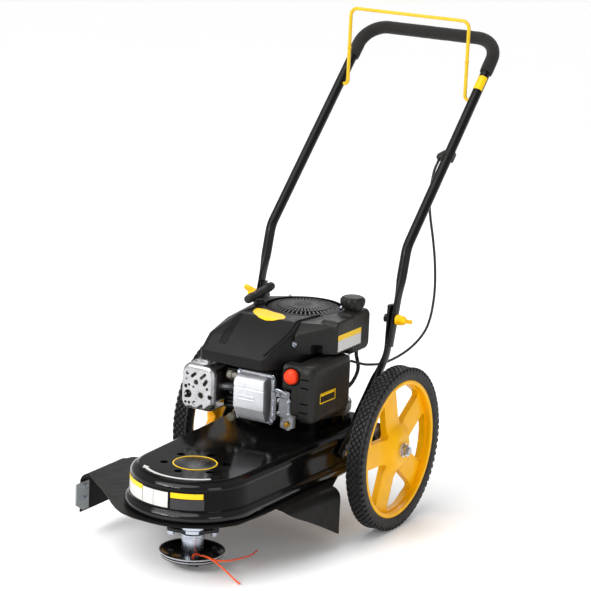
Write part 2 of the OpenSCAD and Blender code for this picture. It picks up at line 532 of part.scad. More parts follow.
// carburettor with its float bowl, drain screw and control plate
module carburettor() {
  color([0.75, 0.76, 0.78]) translate(E) {
    cbox([60, -200, 34], [92, -160, 74], 8);
    translate([76, -180, 8]) cylinder(h = 26, r = 16);
    translate([76, -180, 2]) cylinder(h = 6, r = 6);
    xcyl(46, 60, -172.5, 54, 7);
    ybox([46, -202, 76], [90, -199.5, 90], 3);
    ybox([46, -202, 24], [58, -199.5, 76], 3);
    translate([70, -190, 74]) cylinder(h = 12, r = 5);
    ycyl(-209, -202, 55, 82, 4);
    ycyl(-209, -202, 66, 82, 4);
  }
  color([0.8, 0.6, 0.2]) translate(E) ycyl(-203, -195, 76, 20, 5);
}
module air_filter_base() {
  color(black) translate(E) difference() {
    union() {
      xbox([74, -204, 92], [119.6, -164, 148], 10);
      xbox([96, -204, 40], [119.6, -52, 127], 8);
      xbox([97, -180, 100], [119.6, -52, 148], 8);
    }
    ycyl(-205, -196, 95.5, 126, 16.4);
  }
}
module air_filter_element() { color([0.85, 0.82, 0.7]) translate(E) xbox([121, -196, 48], [138, -62, 138], 8); }
module air_filter_cover() {
  color(black) translate(E) difference() {
    hull() { xbox([120, -214, 30], [140, -46, 152], 16); xbox([140, -208, 36], [150, -52, 146], 14); }
    xbox([119, -210, 34], [146, -50, 148], 13);
    for (z = [56, 74, 104, 124]) translate([122, -216, z]) cube([14, 5, 3]);
  }
}
module primer_bulb() {
  color([0.9, 0.25, 0.1]) translate(E + [95.5, -203.4, 126]) rotate([90, 0, 0]) rotate_extrude($fn = 48)
    polygon([[0, 0], [16, 0], [16, 5], [14.5, 10], [11, 13.5], [6, 15.2], [0, 15.6]]);
}
module fuel_tank() {
  color(black) translate(E) {
    hull() { xbox([97, -100, 157], [132, -20, 226], 14); xbox([132, -94, 162], [140, -26, 219], 10); }
    hull() {
      xbox([97, -42, 142], [132, 46, 226], 16);
      xbox([132, -36, 148], [140, 40, 219], 12);
      cbox([100, -36, 226], [132, 40, 232], 10);
    }
    translate([116, 4, 231]) cylinder(h = 12, r = 17);
  }
}
module fuel_cap() {
  color(black) translate(E + [116, 4, 234]) difference() {
    union() {
      cylinder(h = 26, r = 23);
      for (i = [0:17]) rotate([0, 0, 20 * i]) translate([21, -2, 0]) cube([5, 4, 24]);
    }
    translate([0, 0, -1]) cylinder(h = 12, r = 17.06);
  }
}
hose_pts = [[130, 420, 384.8], [130, 421, 374], [131, 428, 356], [131, 428, 338], [128, 414, 318], [120, 398, 304], [106, 388, 296], [90, 384, 292]];
module fuel_hose() { color([0.08, 0.08, 0.08]) sweep(path(hose_pts, 2), 4, 10); }
module spark_plug() {
  color([0.8, 0.8, 0.78]) translate(E) { xcyl(-70, -56.2, -168, 92, 6); }
  color([0.08, 0.08, 0.08]) translate(E) { xcyl(-80, -70, -168, 92, 9); }
}
module oil_cap() {
  color([0.9, 0.5, 0.05]) translate(E + [104, -5, 22.3]) {
    cylinder(h = 14, r = 15);
    translate([-14, -3, 13]) cube([28, 6, 9]);
    translate([0, 0, -8]) cylinder(h = 9, r = 9);
  }
}
module brake_lever() {
  color([0.7, 0.72, 0.75]) translate([124, 388, 362]) difference() {
    rotate([90, 0, 90]) linear_extrude(3) polygon([[-8, -8], [8, -8], [10, 20], [-6, 20]]);
    translate([-1, 0, 0]) rotate([0, 90, 0]) cylinder(h = 8, r = 3.05);
  }
}

deck_shell();
engine_base_ring();
guard_plate();
line_cutter_blade();
chassis_fasteners();
axle_brackets();
stub_axles();
axle_nuts();
lower_handle_left();
lower_handle_right();
handle_pivot_bolts();
left_tyre();
left_rim();
left_hub_bush();
right_tyre();
right_rim();
right_hub_bush();
crankshaft();
flywheel();
engine_pulley();
drive_belt();
spindle_housing();
spindle_bearings();
spindle_shaft();
spindle_pulley();
head_hub();
head_upper_saucer();
head_lower_saucer();
ground_glide();
head_bolts();
trim_line_a();
trim_line_b();
crankcase();
cylinder_block();
rocker_cover();
blower_housing();
starter_cover();
starter_reel();
starter_rope();
starter_grip();
muffler_body();
muffler_shield();
carburettor();
air_filter_base();
air_filter_element();
air_filter_cover();
primer_bulb();
fuel_tank();
fuel_cap();
fuel_hose();
spark_plug();
oil_cap();
brake_lever();
upper_handle();
foam_grip();
cable_clamp();
bail();
control_cable();
knob_left();
knob_right();
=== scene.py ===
import bpy, bmesh, math, json
from math import sin, cos, pi, radians, sqrt, atan2
from mathutils import Vector, Matrix, noise
from mathutils.bvhtree import BVHTree
from mathutils.geometry import tessellate_polygon


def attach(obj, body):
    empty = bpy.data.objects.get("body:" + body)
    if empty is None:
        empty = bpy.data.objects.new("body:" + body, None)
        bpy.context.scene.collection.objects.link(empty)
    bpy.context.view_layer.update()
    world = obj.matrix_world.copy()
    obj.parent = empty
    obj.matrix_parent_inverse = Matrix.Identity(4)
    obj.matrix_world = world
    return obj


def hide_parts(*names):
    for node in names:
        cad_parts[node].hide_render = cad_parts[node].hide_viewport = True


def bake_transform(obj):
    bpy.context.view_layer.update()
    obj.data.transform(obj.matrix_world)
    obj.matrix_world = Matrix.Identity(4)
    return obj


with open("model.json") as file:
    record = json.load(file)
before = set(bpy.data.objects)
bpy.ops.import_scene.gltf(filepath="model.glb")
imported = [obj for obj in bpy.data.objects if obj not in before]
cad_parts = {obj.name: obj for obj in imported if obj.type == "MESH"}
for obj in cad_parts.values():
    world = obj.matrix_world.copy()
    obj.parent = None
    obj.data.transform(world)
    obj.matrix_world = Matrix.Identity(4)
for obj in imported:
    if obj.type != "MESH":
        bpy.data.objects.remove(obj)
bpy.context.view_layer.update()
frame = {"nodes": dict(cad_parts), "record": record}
scene = bpy.context.scene
K = 0.001  # the numbers below are millimetres

# ---------------------------------------------------------------- camera
def make_camera():
    az, el, roll = radians(30.02), radians(14.1), radians(2.5)
    back = Vector((sin(az) * cos(el), -cos(az) * cos(el), sin(el)))
    fwd = -back
    right = fwd.cross(Vector((0, 0, 1))).normalized()
    up = right.cross(fwd)
    r2 = cos(roll) * right + sin(roll) * up
    u2 = -sin(roll) * right + cos(roll) * up
    c = Vector((43.88, 300, 515.79)) * K + back * 4989.55 * K
    cam = bpy.data.cameras.new("camera")
    cam.sensor_width = 36
    cam.sensor_fit = 'HORIZONTAL'
    cam.lens = 2387.57 / 591 * 36
    cam.clip_end = 100
    o = bpy.data.objects.new("camera", cam)
    m = Matrix.Identity(4)
    for i in range(3):
        m[i][0], m[i][1], m[i][2], m[i][3] = r2[i], u2[i], back[i], c[i]
    o.matrix_world = m
    scene.collection.objects.link(o)
    scene.camera = o
make_camera()

# ---------------------------------------------------------------- materials
def lin(c):
    return tuple(((x / 255) / 12.92 if x / 255 <= 0.04045 else ((x / 255 + 0.055) / 1.055) ** 2.4) for x in c) + (1.0,)

def mat(name, c, var=0.2, scale=35, rough=0.4, rvar=0.08, metal=0.0, bump=0.08, bscale=900, coat=0.0, croughness=0.08,
        stretch=None, wear=None, dust=None, spec=0.5, sheen=0.0, wave=None):
    m = bpy.data.materials.new(name)
    m.use_nodes = True
    t = m.node_tree
    t.nodes.clear()
    n = t.nodes.new
    L = t.links.new
    out = n('ShaderNodeOutputMaterial')
    b = n('ShaderNodeBsdfPrincipled')
    L(b.outputs[0], out.inputs[0])
    b.inputs['Metallic'].default_value = metal
    b.inputs['Specular IOR Level'].default_value = spec
    b.inputs['Coat Weight'].default_value = coat
    b.inputs['Coat Roughness'].default_value = croughness
    if sheen:
        b.inputs['Sheen Weight'].default_value = sheen
        b.inputs['Sheen Roughness'].default_value = 0.5
    tc = n('ShaderNodeTexCoord')
    src = tc.outputs['Object']
    if stretch:
        mp = n('ShaderNodeMapping')
        mp.inputs['Scale'].default_value = stretch
        L(src, mp.inputs[0])
        src = mp.outputs[0]
    nz = n('ShaderNodeTexNoise')
    nz.inputs['Scale'].default_value = scale
    nz.inputs['Detail'].default_value = 5
    nz.inputs['Roughness'].default_value = 0.62
    L(src, nz.inputs['Vector'])
    cr = n('ShaderNodeValToRGB')
    base = lin(c)
    lo = tuple(x * (1 - var) for x in base[:3]) + (1,)
    hi = tuple(min(1, x * (1 + var)) for x in base[:3]) + (1,)
    cr.color_ramp.elements[0].position = 0.32
    cr.color_ramp.elements[0].color = lo
    cr.color_ramp.elements[1].position = 0.68
    cr.color_ramp.elements[1].color = hi
    L(nz.outputs['Fac'], cr.inputs[0])
    col = cr.outputs[0]
    if wave:
        # stripes: colour two, scale, axis
        wv = n('ShaderNodeTexWave')
        wv.bands_direction = wave[2]
        wv.inputs['Scale'].default_value = wave[1]
        wv.inputs['Distortion'].default_value = 0.6
        L(tc.outputs['Object'], wv.inputs['Vector'])
        mx = n('ShaderNodeMix')
        mx.data_type = 'RGBA'
        mx.inputs[7].default_value = lin(wave[0])
        L(wv.outputs['Fac'], mx.inputs[0])
        L(col, mx.inputs[6])
        col = mx.outputs[2]
    if wear:
        # paler or barer on the sharp edges
        g = n('ShaderNodeNewGeometry')
        r = n('ShaderNodeValToRGB')
        r.color_ramp.elements[0].position = 0.53
        r.color_ramp.elements[1].position = 0.60
        L(g.outputs['Pointiness'], r.inputs[0])
        ml = n('ShaderNodeMath')
        ml.operation = 'MULTIPLY'
        L(r.outputs[0], ml.inputs[0])
        L(nz.outputs['Fac'], ml.inputs[1])
        mx = n('ShaderNodeMix')
        mx.data_type = 'RGBA'
        mx.inputs[7].default_value = lin(wear)
        L(ml.outputs[0], mx.inputs[0])
        L(col, mx.inputs[6])
        col = mx.outputs[2]
    if dust:
        # a thin film on the faces that look up
        g = n('ShaderNodeNewGeometry')
        sp = n('ShaderNodeSeparateXYZ')
        L(g.outputs['Normal'], sp.inputs[0])
        n2 = n('ShaderNodeTexNoise')
        n2.inputs['Scale'].default_value = scale * 0.35
        n2.inputs['Detail'].default_value = 6
        L(tc.outputs['Object'], n2.inputs['Vector'])
        ml = n('ShaderNodeMath')
        ml.operation = 'MULTIPLY'
        ml.use_clamp = True
        L(sp.outputs[2], ml.inputs[0])
        L(n2.outputs['Fac'], ml.inputs[1])
        m3 = n('ShaderNodeMath')
        m3.operation = 'MULTIPLY'
        m3.inputs[1].default_value = dust[1]
        L(ml.outputs[0], m3.inputs[0])
        mx = n('ShaderNodeMix')
        mx.data_type = 'RGBA'
        mx.inputs[7].default_value = lin(dust[0])
        L(m3.outputs[0], mx.inputs[0])
        L(col, mx.inputs[6])
        col = mx.outputs[2]
    L(col, b.inputs['Base Color'])
    nr = n('ShaderNodeTexNoise')
    nr.inputs['Scale'].default_value = scale * 2.3
    nr.inputs['Detail'].default_value = 4
    L(src, nr.inputs['Vector'])
    mr = n('ShaderNodeMapRange')
    mr.inputs['From Min'].default_value = 0.3
    mr.inputs['From Max'].default_value = 0.7
    mr.inputs['To Min'].default_value = max(0.02, rough - rvar)
    mr.inputs['To Max'].default_value = min(1, rough + rvar)
    L(nr.outputs['Fac'], mr.inputs['Value'])
    L(mr.outputs[0], b.inputs['Roughness'])
    nb = n('ShaderNodeTexNoise')
    nb.inputs['Scale'].default_value = bscale
    nb.inputs['Detail'].default_value = 3
    L(src, nb.inputs['Vector'])
    bp = n('ShaderNodeBump')
    bp.inputs['Strength'].default_value = bump
    bp.inputs['Distance'].default_value = 0.0004
    L(nb.outputs['Fac'], bp.inputs['Height'])
    L(bp.outputs[0], b.inputs['Normal'])
    return m

M = {
    'deck_black': mat('deck_black', (8, 8, 8), 0.25, 18, 0.13, 0.05, bump=0.03, bscale=260, coat=0.05, croughness=0.04, spec=0.075, dust=((120, 112, 104), 0.016)),
    'sheet_black': mat('sheet_black', (18, 17, 16), 0.2, 24, 0.4, 0.08, bump=0.07, bscale=700, spec=0.1, dust=((120, 112, 104), 0.025)),
    'tube_black': mat('tube_black', (13, 13, 12), 0.2, 30, 0.33, 0.07, bump=0.09, bscale=1100, coat=0.1, croughness=0.2, spec=0.16),
    'zinc': mat('zinc', (190, 196, 208), 0.08, 60, 0.25, 0.06, 1.0, 0.02, 600),
    'blade_steel': mat('blade_steel', (160, 166, 168), 0.15, 40, 0.4, 0.1, 0.35, 0.12, 900, stretch=(1, 1, 8)),
    'carb_alloy': mat('carb_alloy', (136, 138, 142), 0.15, 60, 0.38, 0.08, 0.75, 0.2, 800),
    'shaft_steel': mat('shaft_steel', (172, 174, 178), 0.12, 40, 0.28, 0.08, 1.0, 0.12, 900, stretch=(1, 1, 10)),
    'tyre': mat('tyre', (38, 36, 35), 0.22, 50, 0.6, 0.1, bump=0.22, bscale=900, spec=0.28, dust=((110, 105, 100), 0.06)),
    'tread': mat('tread', (20, 19, 20), 0.25, 60, 0.55, 0.1, bump=0.22, bscale=900, spec=0.32),
    'groove': mat('groove', (50, 49, 51), 0.25, 60, 0.5, 0.1, bump=0.22, bscale=900, spec=0.35),
    'rim_yellow': mat('rim_yellow', (246, 181, 0), 0.05, 25, 0.36, 0.05, bump=0.06, bscale=700, spec=0.2),
    'nylon': mat('nylon', (218, 214, 200), 0.06, 60, 0.5, 0.06, bump=0.1, bscale=900),
    'cast_grey': mat('cast_grey', (92, 92, 96), 0.2, 60, 0.45, 0.1, 0.9, 0.25, 700),
    'belt_rubber': mat('belt_rubber', (36, 36, 36), 0.2, 60, 0.7, 0.1, bump=0.3, bscale=1200),
    # a darker copy of the cast alloy: painted shade for the valve cover's flanks
    'cast_painted_shade': mat('cast_painted_shade', (104, 104, 107), 0.12, 45, 0.46, 0.08, 0.4, 0.3, 620),
    'cast_alloy': mat('cast_alloy', (212, 214, 218), 0.08, 45, 0.42, 0.08, 0.5, 0.3, 620, wear=(240, 241, 243)),
    'alloy_black': mat('alloy_black', (30, 30, 32), 0.22, 45, 0.45, 0.08, 0.2, 0.3, 620, spec=0.35),
    'head_black': mat('head_black', (13, 13, 15), 0.25, 40, 0.2, 0.06, bump=0.03, bscale=500, coat=0.3, croughness=0.08, spec=0.4),
    # light grey for the saucers' rolled rims: painted highlight
    'rim_line': mat('rim_line', (168, 170, 174), 0.12, 60, 0.35, 0.08, bump=0.05, bscale=900),
    'line_orange': mat('line_orange', (250, 92, 38), 0.1, 90, 0.4, 0.08, bump=0.1, bscale=1500, spec=0.3),
    'hood_black': mat('hood_black', (15, 14, 14), 0.18, 26, 0.4, 0.07, bump=0.2, bscale=1500, spec=0.19, dust=((120, 115, 108), 0.025)),
    'shroud_black': mat('shroud_black', (25, 24, 23), 0.16, 26, 0.43, 0.07, bump=0.2, bscale=1500, spec=0.24, dust=((120, 115, 108), 0.03)),
    # blackest black; on the hood's channel, recess and strip floors it is painted shade
    'shroud_dark': mat('shroud_dark', (6, 6, 6), 0.2, 30, 0.42, 0.07, bump=0.15, bscale=1500, spec=0.15),
    'fin_grey': mat('fin_grey', (74, 74, 75), 0.14, 40, 0.4, 0.07, bump=0.12, bscale=1300, spec=0.4),
    'reel_grey': mat('reel_grey', (40, 40, 42), 0.12, 50, 0.55, 0.08, bump=0.15, bscale=1200, spec=0.3),
    'rope': mat('rope', (214, 212, 204), 0.1, 300, 0.85, 0.05, bump=0.5, bscale=1600, sheen=0.3, wave=((150, 146, 134), 140, 'DIAGONAL')),
    'grip_rubber': mat('grip_rubber', (24, 23, 23), 0.2, 60, 0.55, 0.1, bump=0.3, bscale=1300, spec=0.35),
    'muffler_steel': mat('muffler_steel', (118, 112, 106), 0.3, 30, 0.4, 0.12, 0.9, 0.2, 700),
    'shield_steel': mat('shield_steel', (180, 180, 182), 0.12, 34, 0.3, 0.09, 0.95, 0.1, 900, dust=((96, 92, 88), 0.03)),
    'filter_paper': mat('filter_paper', (224, 214, 182), 0.08, 80, 0.9, 0.05, bump=0.5, bscale=900, wave=((176, 160, 120), 60, 'Y')),
    'primer_red': mat('primer_red', (236, 58, 18), 0.1, 60, 0.4, 0.06, bump=0.06, bscale=900, spec=0.3),
    'hose_rubber': mat('hose_rubber', (20, 20, 21), 0.2, 80, 0.48, 0.08, bump=0.2, bscale=1300, spec=0.4),
    'plug_white': mat('plug_white', (186, 181, 166), 0.08, 80, 0.3, 0.06, bump=0.05, bscale=900),
    'plug_olive': mat('plug_olive', (88, 86, 70), 0.15, 80, 0.42, 0.08, bump=0.1, bscale=900, spec=0.35),
    'cap_orange': mat('cap_orange', (226, 138, 26), 0.12, 60, 0.42, 0.06, bump=0.08, bscale=900),
    'foam': mat('foam', (33, 32, 31), 0.22, 160, 0.86, 0.06, bump=0.85, bscale=1100, spec=0.25, sheen=0.1),
    'bail_yellow': mat('bail_yellow', (220, 180, 22), 0.06, 40, 0.36, 0.06, bump=0.06, bscale=900, coat=0.05, croughness=0.15, spec=0.3),
    'knob_yellow': mat('knob_yellow', (248, 188, 6), 0.06, 50, 0.42, 0.06, bump=0.12, bscale=1200, spec=0.25),
    'decal_yellow': mat('decal_yellow', (246, 199, 10), 0.04, 60, 0.38, 0.04, bump=0.03, bscale=900, spec=0.3),
    'decal_white': mat('decal_white', (206, 204, 201), 0.04, 60, 0.4, 0.05, bump=0.03, bscale=900, spec=0.3),
    'decal_grey': mat('decal_grey', (44, 44, 47), 0.1, 60, 0.4, 0.05, bump=0.03, bscale=900, spec=0.35),
    'disc_black': mat('disc_black', (18, 18, 19), 0.15, 60, 0.3, 0.05, bump=0.04, bscale=900, spec=0.35),
    # near-black for openings: painted shade
    'void': mat('void', (9, 9, 9), 0.3, 60, 0.8, 0.05, bump=0.05, bscale=900),
    'brass': mat('brass', (206, 160, 72), 0.15, 80, 0.35, 0.08, 1.0, 0.06, 900),
}

# ---------------------------------------------------------------- mesh helpers
class G:
    """Points and faces gathered in millimetres, with a material number for each face."""
    def __init__(self):
        self.v, self.f, self.m = [], [], []

    def add(self, vf, m=0, T=None):
        v, f = vf
        base = len(self.v)
        self.v += [(T @ Vector(p)) if T is not None else Vector(p) for p in v]
        self.f += [tuple(i + base for i in q) for q in f]
        self.m += [m] * len(f)
        return self

def T(x=0, y=0, z=0, rx=0, ry=0, rz=0):
    return Matrix.Translation((x, y, z)) @ Matrix.Rotation(radians(rz), 4, 'Z') @ Matrix.Rotation(radians(ry), 4, 'Y') @ Matrix.Rotation(radians(rx), 4, 'X')

MIR = Matrix.Diagonal((-1, 1, 1, 1))
ALONG_X = Matrix(((0, 0, 1, 0), (1, 0, 0, 0), (0, 1, 0, 0), (0, 0, 0, 1)))   # z->x, x->y, y->z
ALONG_NY = Matrix.Rotation(radians(90), 4, 'X')                               # z->-y, y->z

def bare(name, g, mats):
    me = bpy.data.meshes.new(name)
    me.from_pydata([(p[0] * K, p[1] * K, p[2] * K) for p in g.v], [], g.f)
    for x in mats:
        me.materials.append(M[x])
    if len(mats) > 1:
        me.polygons.foreach_set('material_index', g.m)
    bm = bmesh.new()
    bm.from_mesh(me)
    bmesh.ops.remove_doubles(bm, verts=bm.verts, dist=2e-6)
    bmesh.ops.dissolve_degenerate(bm, edges=bm.edges, dist=1e-6)
    bmesh.ops.recalc_face_normals(bm, faces=bm.faces)
    bm.to_mesh(me)
    bm.free()
    o = bpy.data.objects.new(name, me)
    scene.collection.objects.link(o)
    return o

def soften(o, smooth=35):
    me = o.data
    me.polygons.foreach_set('use_smooth', [True] * len(me.polygons))
    me.set_sharp_from_angle(angle=radians(smooth))

def bevel(o, w, seg=2, ang=35):
    b = o.modifiers.new("edge", 'BEVEL')
    b.width = w * K
    b.segments = seg
    b.limit_method = 'ANGLE'
    b.angle_limit = radians(ang)
    b.use_clamp_overlap = True
    b.harden_normals = False

def piece(name, g, mats, body, nodes=(), smooth=35, bev=0, seg=2, cut=None, ride=True):
    mats = [mats] if isinstance(mats, str) else mats
    o = bare(name, g, mats)
    if cut is not None:
        carve(o, cut)
    soften(o, smooth)
    if bev:
        bevel(o, bev, seg)
    if ride:
        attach(o, body)
    if nodes:
        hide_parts(*nodes)
    return o

def carve(o, g, op='DIFFERENCE'):
    c = bare(o.name + "_cut", g, [])
    b = o.modifiers.new("carve", 'BOOLEAN')
    b.object = c
    b.operation = op
    b.solver = 'EXACT'
    b.use_self = True
    dg = bpy.context.evaluated_depsgraph_get()
    me = bpy.data.meshes.new_from_object(o.evaluated_get(dg))
    old = o.data
    o.modifiers.clear()
    o.data = me
    bpy.data.meshes.remove(old)
    cm = c.data
    bpy.data.objects.remove(c)
    bpy.data.meshes.remove(cm)

def rr(w, l, r, n=6):
    r = min(r, w / 2 - 0.01, l / 2 - 0.01)
    return [(sx * (w / 2 - r) + r * cos(radians(a0 + 90 * i / n)), sy * (l / 2 - r) + r * sin(radians(a0 + 90 * i / n)))
            for sx, sy, a0 in ((1, 1, 0), (-1, 1, 90), (-1, -1, 180), (1, -1, 270)) for i in range(n + 1)]

def loft(rings, cap0=True, cap1=True, close=False):
    n = len(rings[0])
    v = [p for r in rings for p in r]
    f = []
    k = len(rings)
    for i in range(k if close else k - 1):
        a, b = i * n, ((i + 1) % k) * n
        for j in range(n):
            f.append((a + j, a + (j + 1) % n, b + (j + 1) % n, b + j))
    if not close:
        if cap0:
            f.append(tuple(range(n - 1, -1, -1)))
        if cap1:
            f.append(tuple((k - 1) * n + j for j in range(n)))
    return v, f

def rbox(lo, hi, r, e=2.0, axis='Z', n=6, ne=3, taper=0.0):
    """Block between two corners; edges along the axis rounded to r, its two end faces' edges to e."""
    lo, hi = Vector(lo), Vector(hi)
    c = (lo + hi) / 2
    s = hi - lo
    if axis == 'Z':
        w, l, h, R = s.x, s.y, s.z, Matrix.Identity(4)
    elif axis == 'X':
        w, l, h, R = s.y, s.z, s.x, ALONG_X
    else:
        w, l, h, R = s.x, s.z, s.y, ALONG_NY
    e = min(e, h / 2 - 0.01)
    rings = []
    st = [(e - e * sin(pi / 2 * i / ne), -h / 2 + e - e * cos(pi / 2 * i / ne)) for i in range(ne + 1)]
    st += [(d, -z) for d, z in reversed(st)]
    for d, z in st:
        k = taper * (z / h + 0.5)
        rings.append([(x, y, z) for x, y in rr(w - 2 * d - 2 * k, l - 2 * d - 2 * k, max(0.3, r - d))])
    v, f = loft(rings)
    m = Matrix.Translation(c) @ R
    return [m @ Vector(p) for p in v], f

def lathe(prof, n=48, M4=None, arc=None):
    """Closed outline (radius, height) turned round Z."""
    v, f = [], []
    k = len(prof)
    for i in range(n):
        a = 2 * pi * i / n
        v += [(r * cos(a), r * sin(a), z) for r, z in prof]
    for i in range(n):
        a, b = i * k, ((i + 1) % n) * k
        for j in range(k):
            j2 = (j + 1) % k
            if prof[j][0] < 1e-6 and prof[j2][0] < 1e-6:
                continue
            f.append((a + j, b + j, b + j2, a + j2))
    if M4 is not None:
        v = [M4 @ Vector(p) for p in v]
    return v, f

def crom(p, m):
    p = [Vector(x) for x in p]
    q = []
    for i in range(len(p) - 1):
        a, b, c, d = p[max(i - 1, 0)], p[i], p[i + 1], p[min(i + 2, len(p) - 1)]
        for j in range(m):
            t = j / m
            q.append(0.5 * (2 * b + (c - a) * t + (2 * a - 5 * b + 4 * c - d) * t * t + (3 * b - a - 3 * c + d) * t ** 3))
    q.append(p[-1])
    return q

def bent(p, br, m=8):
    p = [Vector(x) for x in p]
    q = [p[0]]
    for i in range(1, len(p) - 1):
        d0, d1 = (p[i] - p[i - 1]).normalized(), (p[i + 1] - p[i]).normalized()
        a = math.acos(max(-1, min(1, d0.dot(d1))))
        t = br * math.tan(a / 2)
        k = d0.cross(d1).normalized()
        x = -k.cross(d0)
        c = p[i] - d0 * t - x * br
        for j in range(m + 1):
            q.append(c + br * (cos(a * j / m) * x + sin(a * j / m) * d0))
    q.append(p[-1])
    return q

def frames(q):
    n = len(q)
    tg = [(q[min(i + 1, n - 1)] - q[max(i - 1, 0)]).normalized() for i in range(n)]
    u = tg[0].orthogonal().normalized()
    out = []
    for i in range(n):
        u = (u - tg[i] * u.dot(tg[i])).normalized()
        out.append((tg[i], u, tg[i].cross(u)))
    return out

def tube(q, r, s=12, fn=None, twist=0):
    q = [Vector(x) for x in q]
    rings = []
    run = 0
    for i, (t, u, v) in enumerate(frames(q)):
        if i:
            run += (q[i] - q[i - 1]).length
        ring = []
        for k in range(s):
            a = 2 * pi * k / s + twist * run
            rad = r if fn is None else fn(i, k, run)
            ring.append(q[i] + rad * (cos(a) * u + sin(a) * v))
        rings.append(ring)
    return loft(rings)

def plate(outer, holes, z0, z1):
    loops = [outer] + list(holes)
    flat = [p for l in loops for p in l]
    tris = tessellate_polygon([[Vector((p[0], p[1], 0)) for p in l] for l in loops])
    n = len(flat)
    v = [(p[0], p[1], z1) for p in flat] + [(p[0], p[1], z0) for p in flat]
    f = [tuple(t) for t in tris] + [tuple(i + n for i in reversed(t)) for t in tris]
    b = 0
    for l in loops:
        k = len(l)
        for i in range(k):
            f.append((b + i, b + (i + 1) % k, n + b + (i + 1) % k, n + b + i))
        b += k
    return v, f

def circle(x, y, r, n=24, a0=0):
    return [(x + r * cos(a0 + 2 * pi * i / n), y + r * sin(a0 + 2 * pi * i / n)) for i in range(n)]

def bolt(g, pos, direction, r=6, h=4, washer=0, m=0, washer_r=None):
    """Hex head with a chamfered crown, along a direction from its seat."""
    d = Vector(direction).normalized()
    R = Matrix.Translation(pos) @ d.to_track_quat('Z', 'Y').to_matrix().to_4x4()
    if washer:
        g.add(lathe([(0, 0), (washer_r or r * 1.4, 0), (washer_r or r * 1.4, washer * 0.7), ((washer_r or r * 1.4) - 0.5, washer), (0, washer)], 32, R), m)
    hexa = lambda k, z: [(k * r * cos(radians(60 * i)), k * r * sin(radians(60 * i)), z) for i in range(6)]
    v, f = loft([hexa(0.97, washer), hexa(1, washer + 0.4), hexa(1, washer + h * 0.72), hexa(0.84, washer + h)])
    g.add(([R @ Vector(p) for p in v], f), m)

# ---------------------------------------------------------------- cords: the two trim lines
line_a = [(20, -8, 24), (42, -22, 33), (62, -36, 39), (84, -40, 39), (100, -20, 36), (106, 20, 31), (104, 62, 25), (92, 104, 19)]
line_b = [(17, -14, 24), (42, -29, 36), (62, -42, 42), (84, -46, 38), (106, -40, 22), (124, -38, 9), (142, -42, 3)]
for nm, pts in (("trim_line_a", line_a), ("trim_line_b", line_b)):
    q = crom(pts, 5)
    g = G().add(tube(q, 2.0, 12, lambda i, k, run: 2.0 if k % 3 else 1.78, twist=0.16))
    o = piece("cord_" + nm, g, 'line_orange', 'head', [nm], smooth=60)

# control cable: from the clamp on the handle down to the brake lever on the engine
cable_pts = [(148, 721, 757), (147, 703, 733), (147, 690, 685), (147, 696, 640), (147, 718, 578), (147, 734, 520), (147, 740, 455),
             (147, 725, 397), (147, 690, 365), (146, 620, 344), (142, 530, 337), (141, 455, 349), (138, 415, 361), (133, 394, 369)]
q = crom(cable_pts, 5)
nq = len(q)
def cable_r(i, k, run):
    if i < 4 or i > nq - 7:
        return 3.0 if i % 2 else 2.6
    return 2.9
o = piece("cable_sleeve", G().add(tube(q, 2.9, 12, cable_r)), 'hose_rubber', None, ["control_cable"], smooth=60, ride=False)
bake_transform(o)

# starter rope: from the reel chamber up into the grip
q = [Vector((-92, 381, 440 + 32 * i / 16)) for i in range(17)]
o = piece("starter_cord", G().add(tube(q, 2.0, 12, lambda i, k, run: 2.0 if k % 3 else 1.75, twist=0.5)), 'rope', None, ["starter_rope"], smooth=60, ride=False)
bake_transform(o)

# ---------------------------------------------------------------- deck
def deck_plan(o, ns=48):
    p = [((131 + o) * cos(pi + pi * i / ns), (131 + o) * sin(pi + pi * i / ns)) for i in range(ns + 1)]
    # a few points down each straight side, so that the sheet stays smooth
    p += [(131 + o + 19 * t, 490 * t) for t in (0.25, 0.5, 0.75)]
    p += [(110 + (40 + o) * cos(radians(7.5 * i)), 490 + (40 + o) * sin(radians(7.5 * i))) for i in range(13)]
    p += [(-110 - (40 + o) * sin(radians(7.5 * i)), 490 + (40 + o) * cos(radians(7.5 * i))) for i in range(13)]
    p += [(-131 - o - 19 * t, 490 * t) for t in (0.75, 0.5, 0.25)]
    return p

def deck():
    outer = [(-2.9, 134), (6.2, 134), (8.2, 134.6), (9.4, 136.2), (9.9, 138.6), (10, 142), (9.9, 145), (9.2, 148), (7.8, 150.6), (5.8, 152.6), (3.6, 154),
             (1.8, 155.4), (0.7, 157.2), (0.1, 159.6), (0, 162), (0, 178), (0, 195), (-0.05, 199),
             (-0.4, 202.4), (-1.3, 205.4), (-2.8, 208), (-4.8, 210), (-7.2, 211.5), (-9.8, 212.7), (-12.4, 213.9), (-14.6, 215), (-15.6, 215.9),
             (-16.3, 216.6), (-17.0, 216.95), (-17.8, 217)]
    inner = [(-2.9, 134), (-3, 198), (-4.6, 204.6), (-8.2, 208.8), (-13, 211.6), (-17, 213.6), (-18.6, 214)]
    g = G()
    ring = lambda o, z: [(x, y, z) for x, y in deck_plan(o)]
    g.add(loft([ring(*p) for p in outer], False, False))
    g.add(loft([ring(*p) for p in inner], False, False))
    holes = [circle(63 * cos(radians(30 + 60 * i)), 63 * sin(radians(30 + 60 * i)), 8.5, 28) for i in range(6)]
    holes += [circle(0, 415, 60, 64)] + [circle(100 * cos(radians(30 + 120 * i)), 415 + 100 * sin(radians(30 + 120 * i)), 4, 16) for i in range(3)]
    for z, o in ((217, -17.8), (214, -18.6)):
        loops = [deck_plan(o)] + holes
        flat = [(x, y, z) for l in loops for x, y in l]
        g.add((flat, [tuple(t) for t in tessellate_polygon([[Vector((x, y, 0)) for x, y in l] for l in loops])]))
    for h in holes:
        k = len(h)
        # a drawn edge round each hole
        rings = [[(x, y, 217) for x, y in h], [(x, y, 214) for x, y in h]]
        g.add(loft(rings, False, False))
    piece("deck_pressing", g, 'deck_black', 'chassis', ["deck_shell"], smooth=38)
deck()

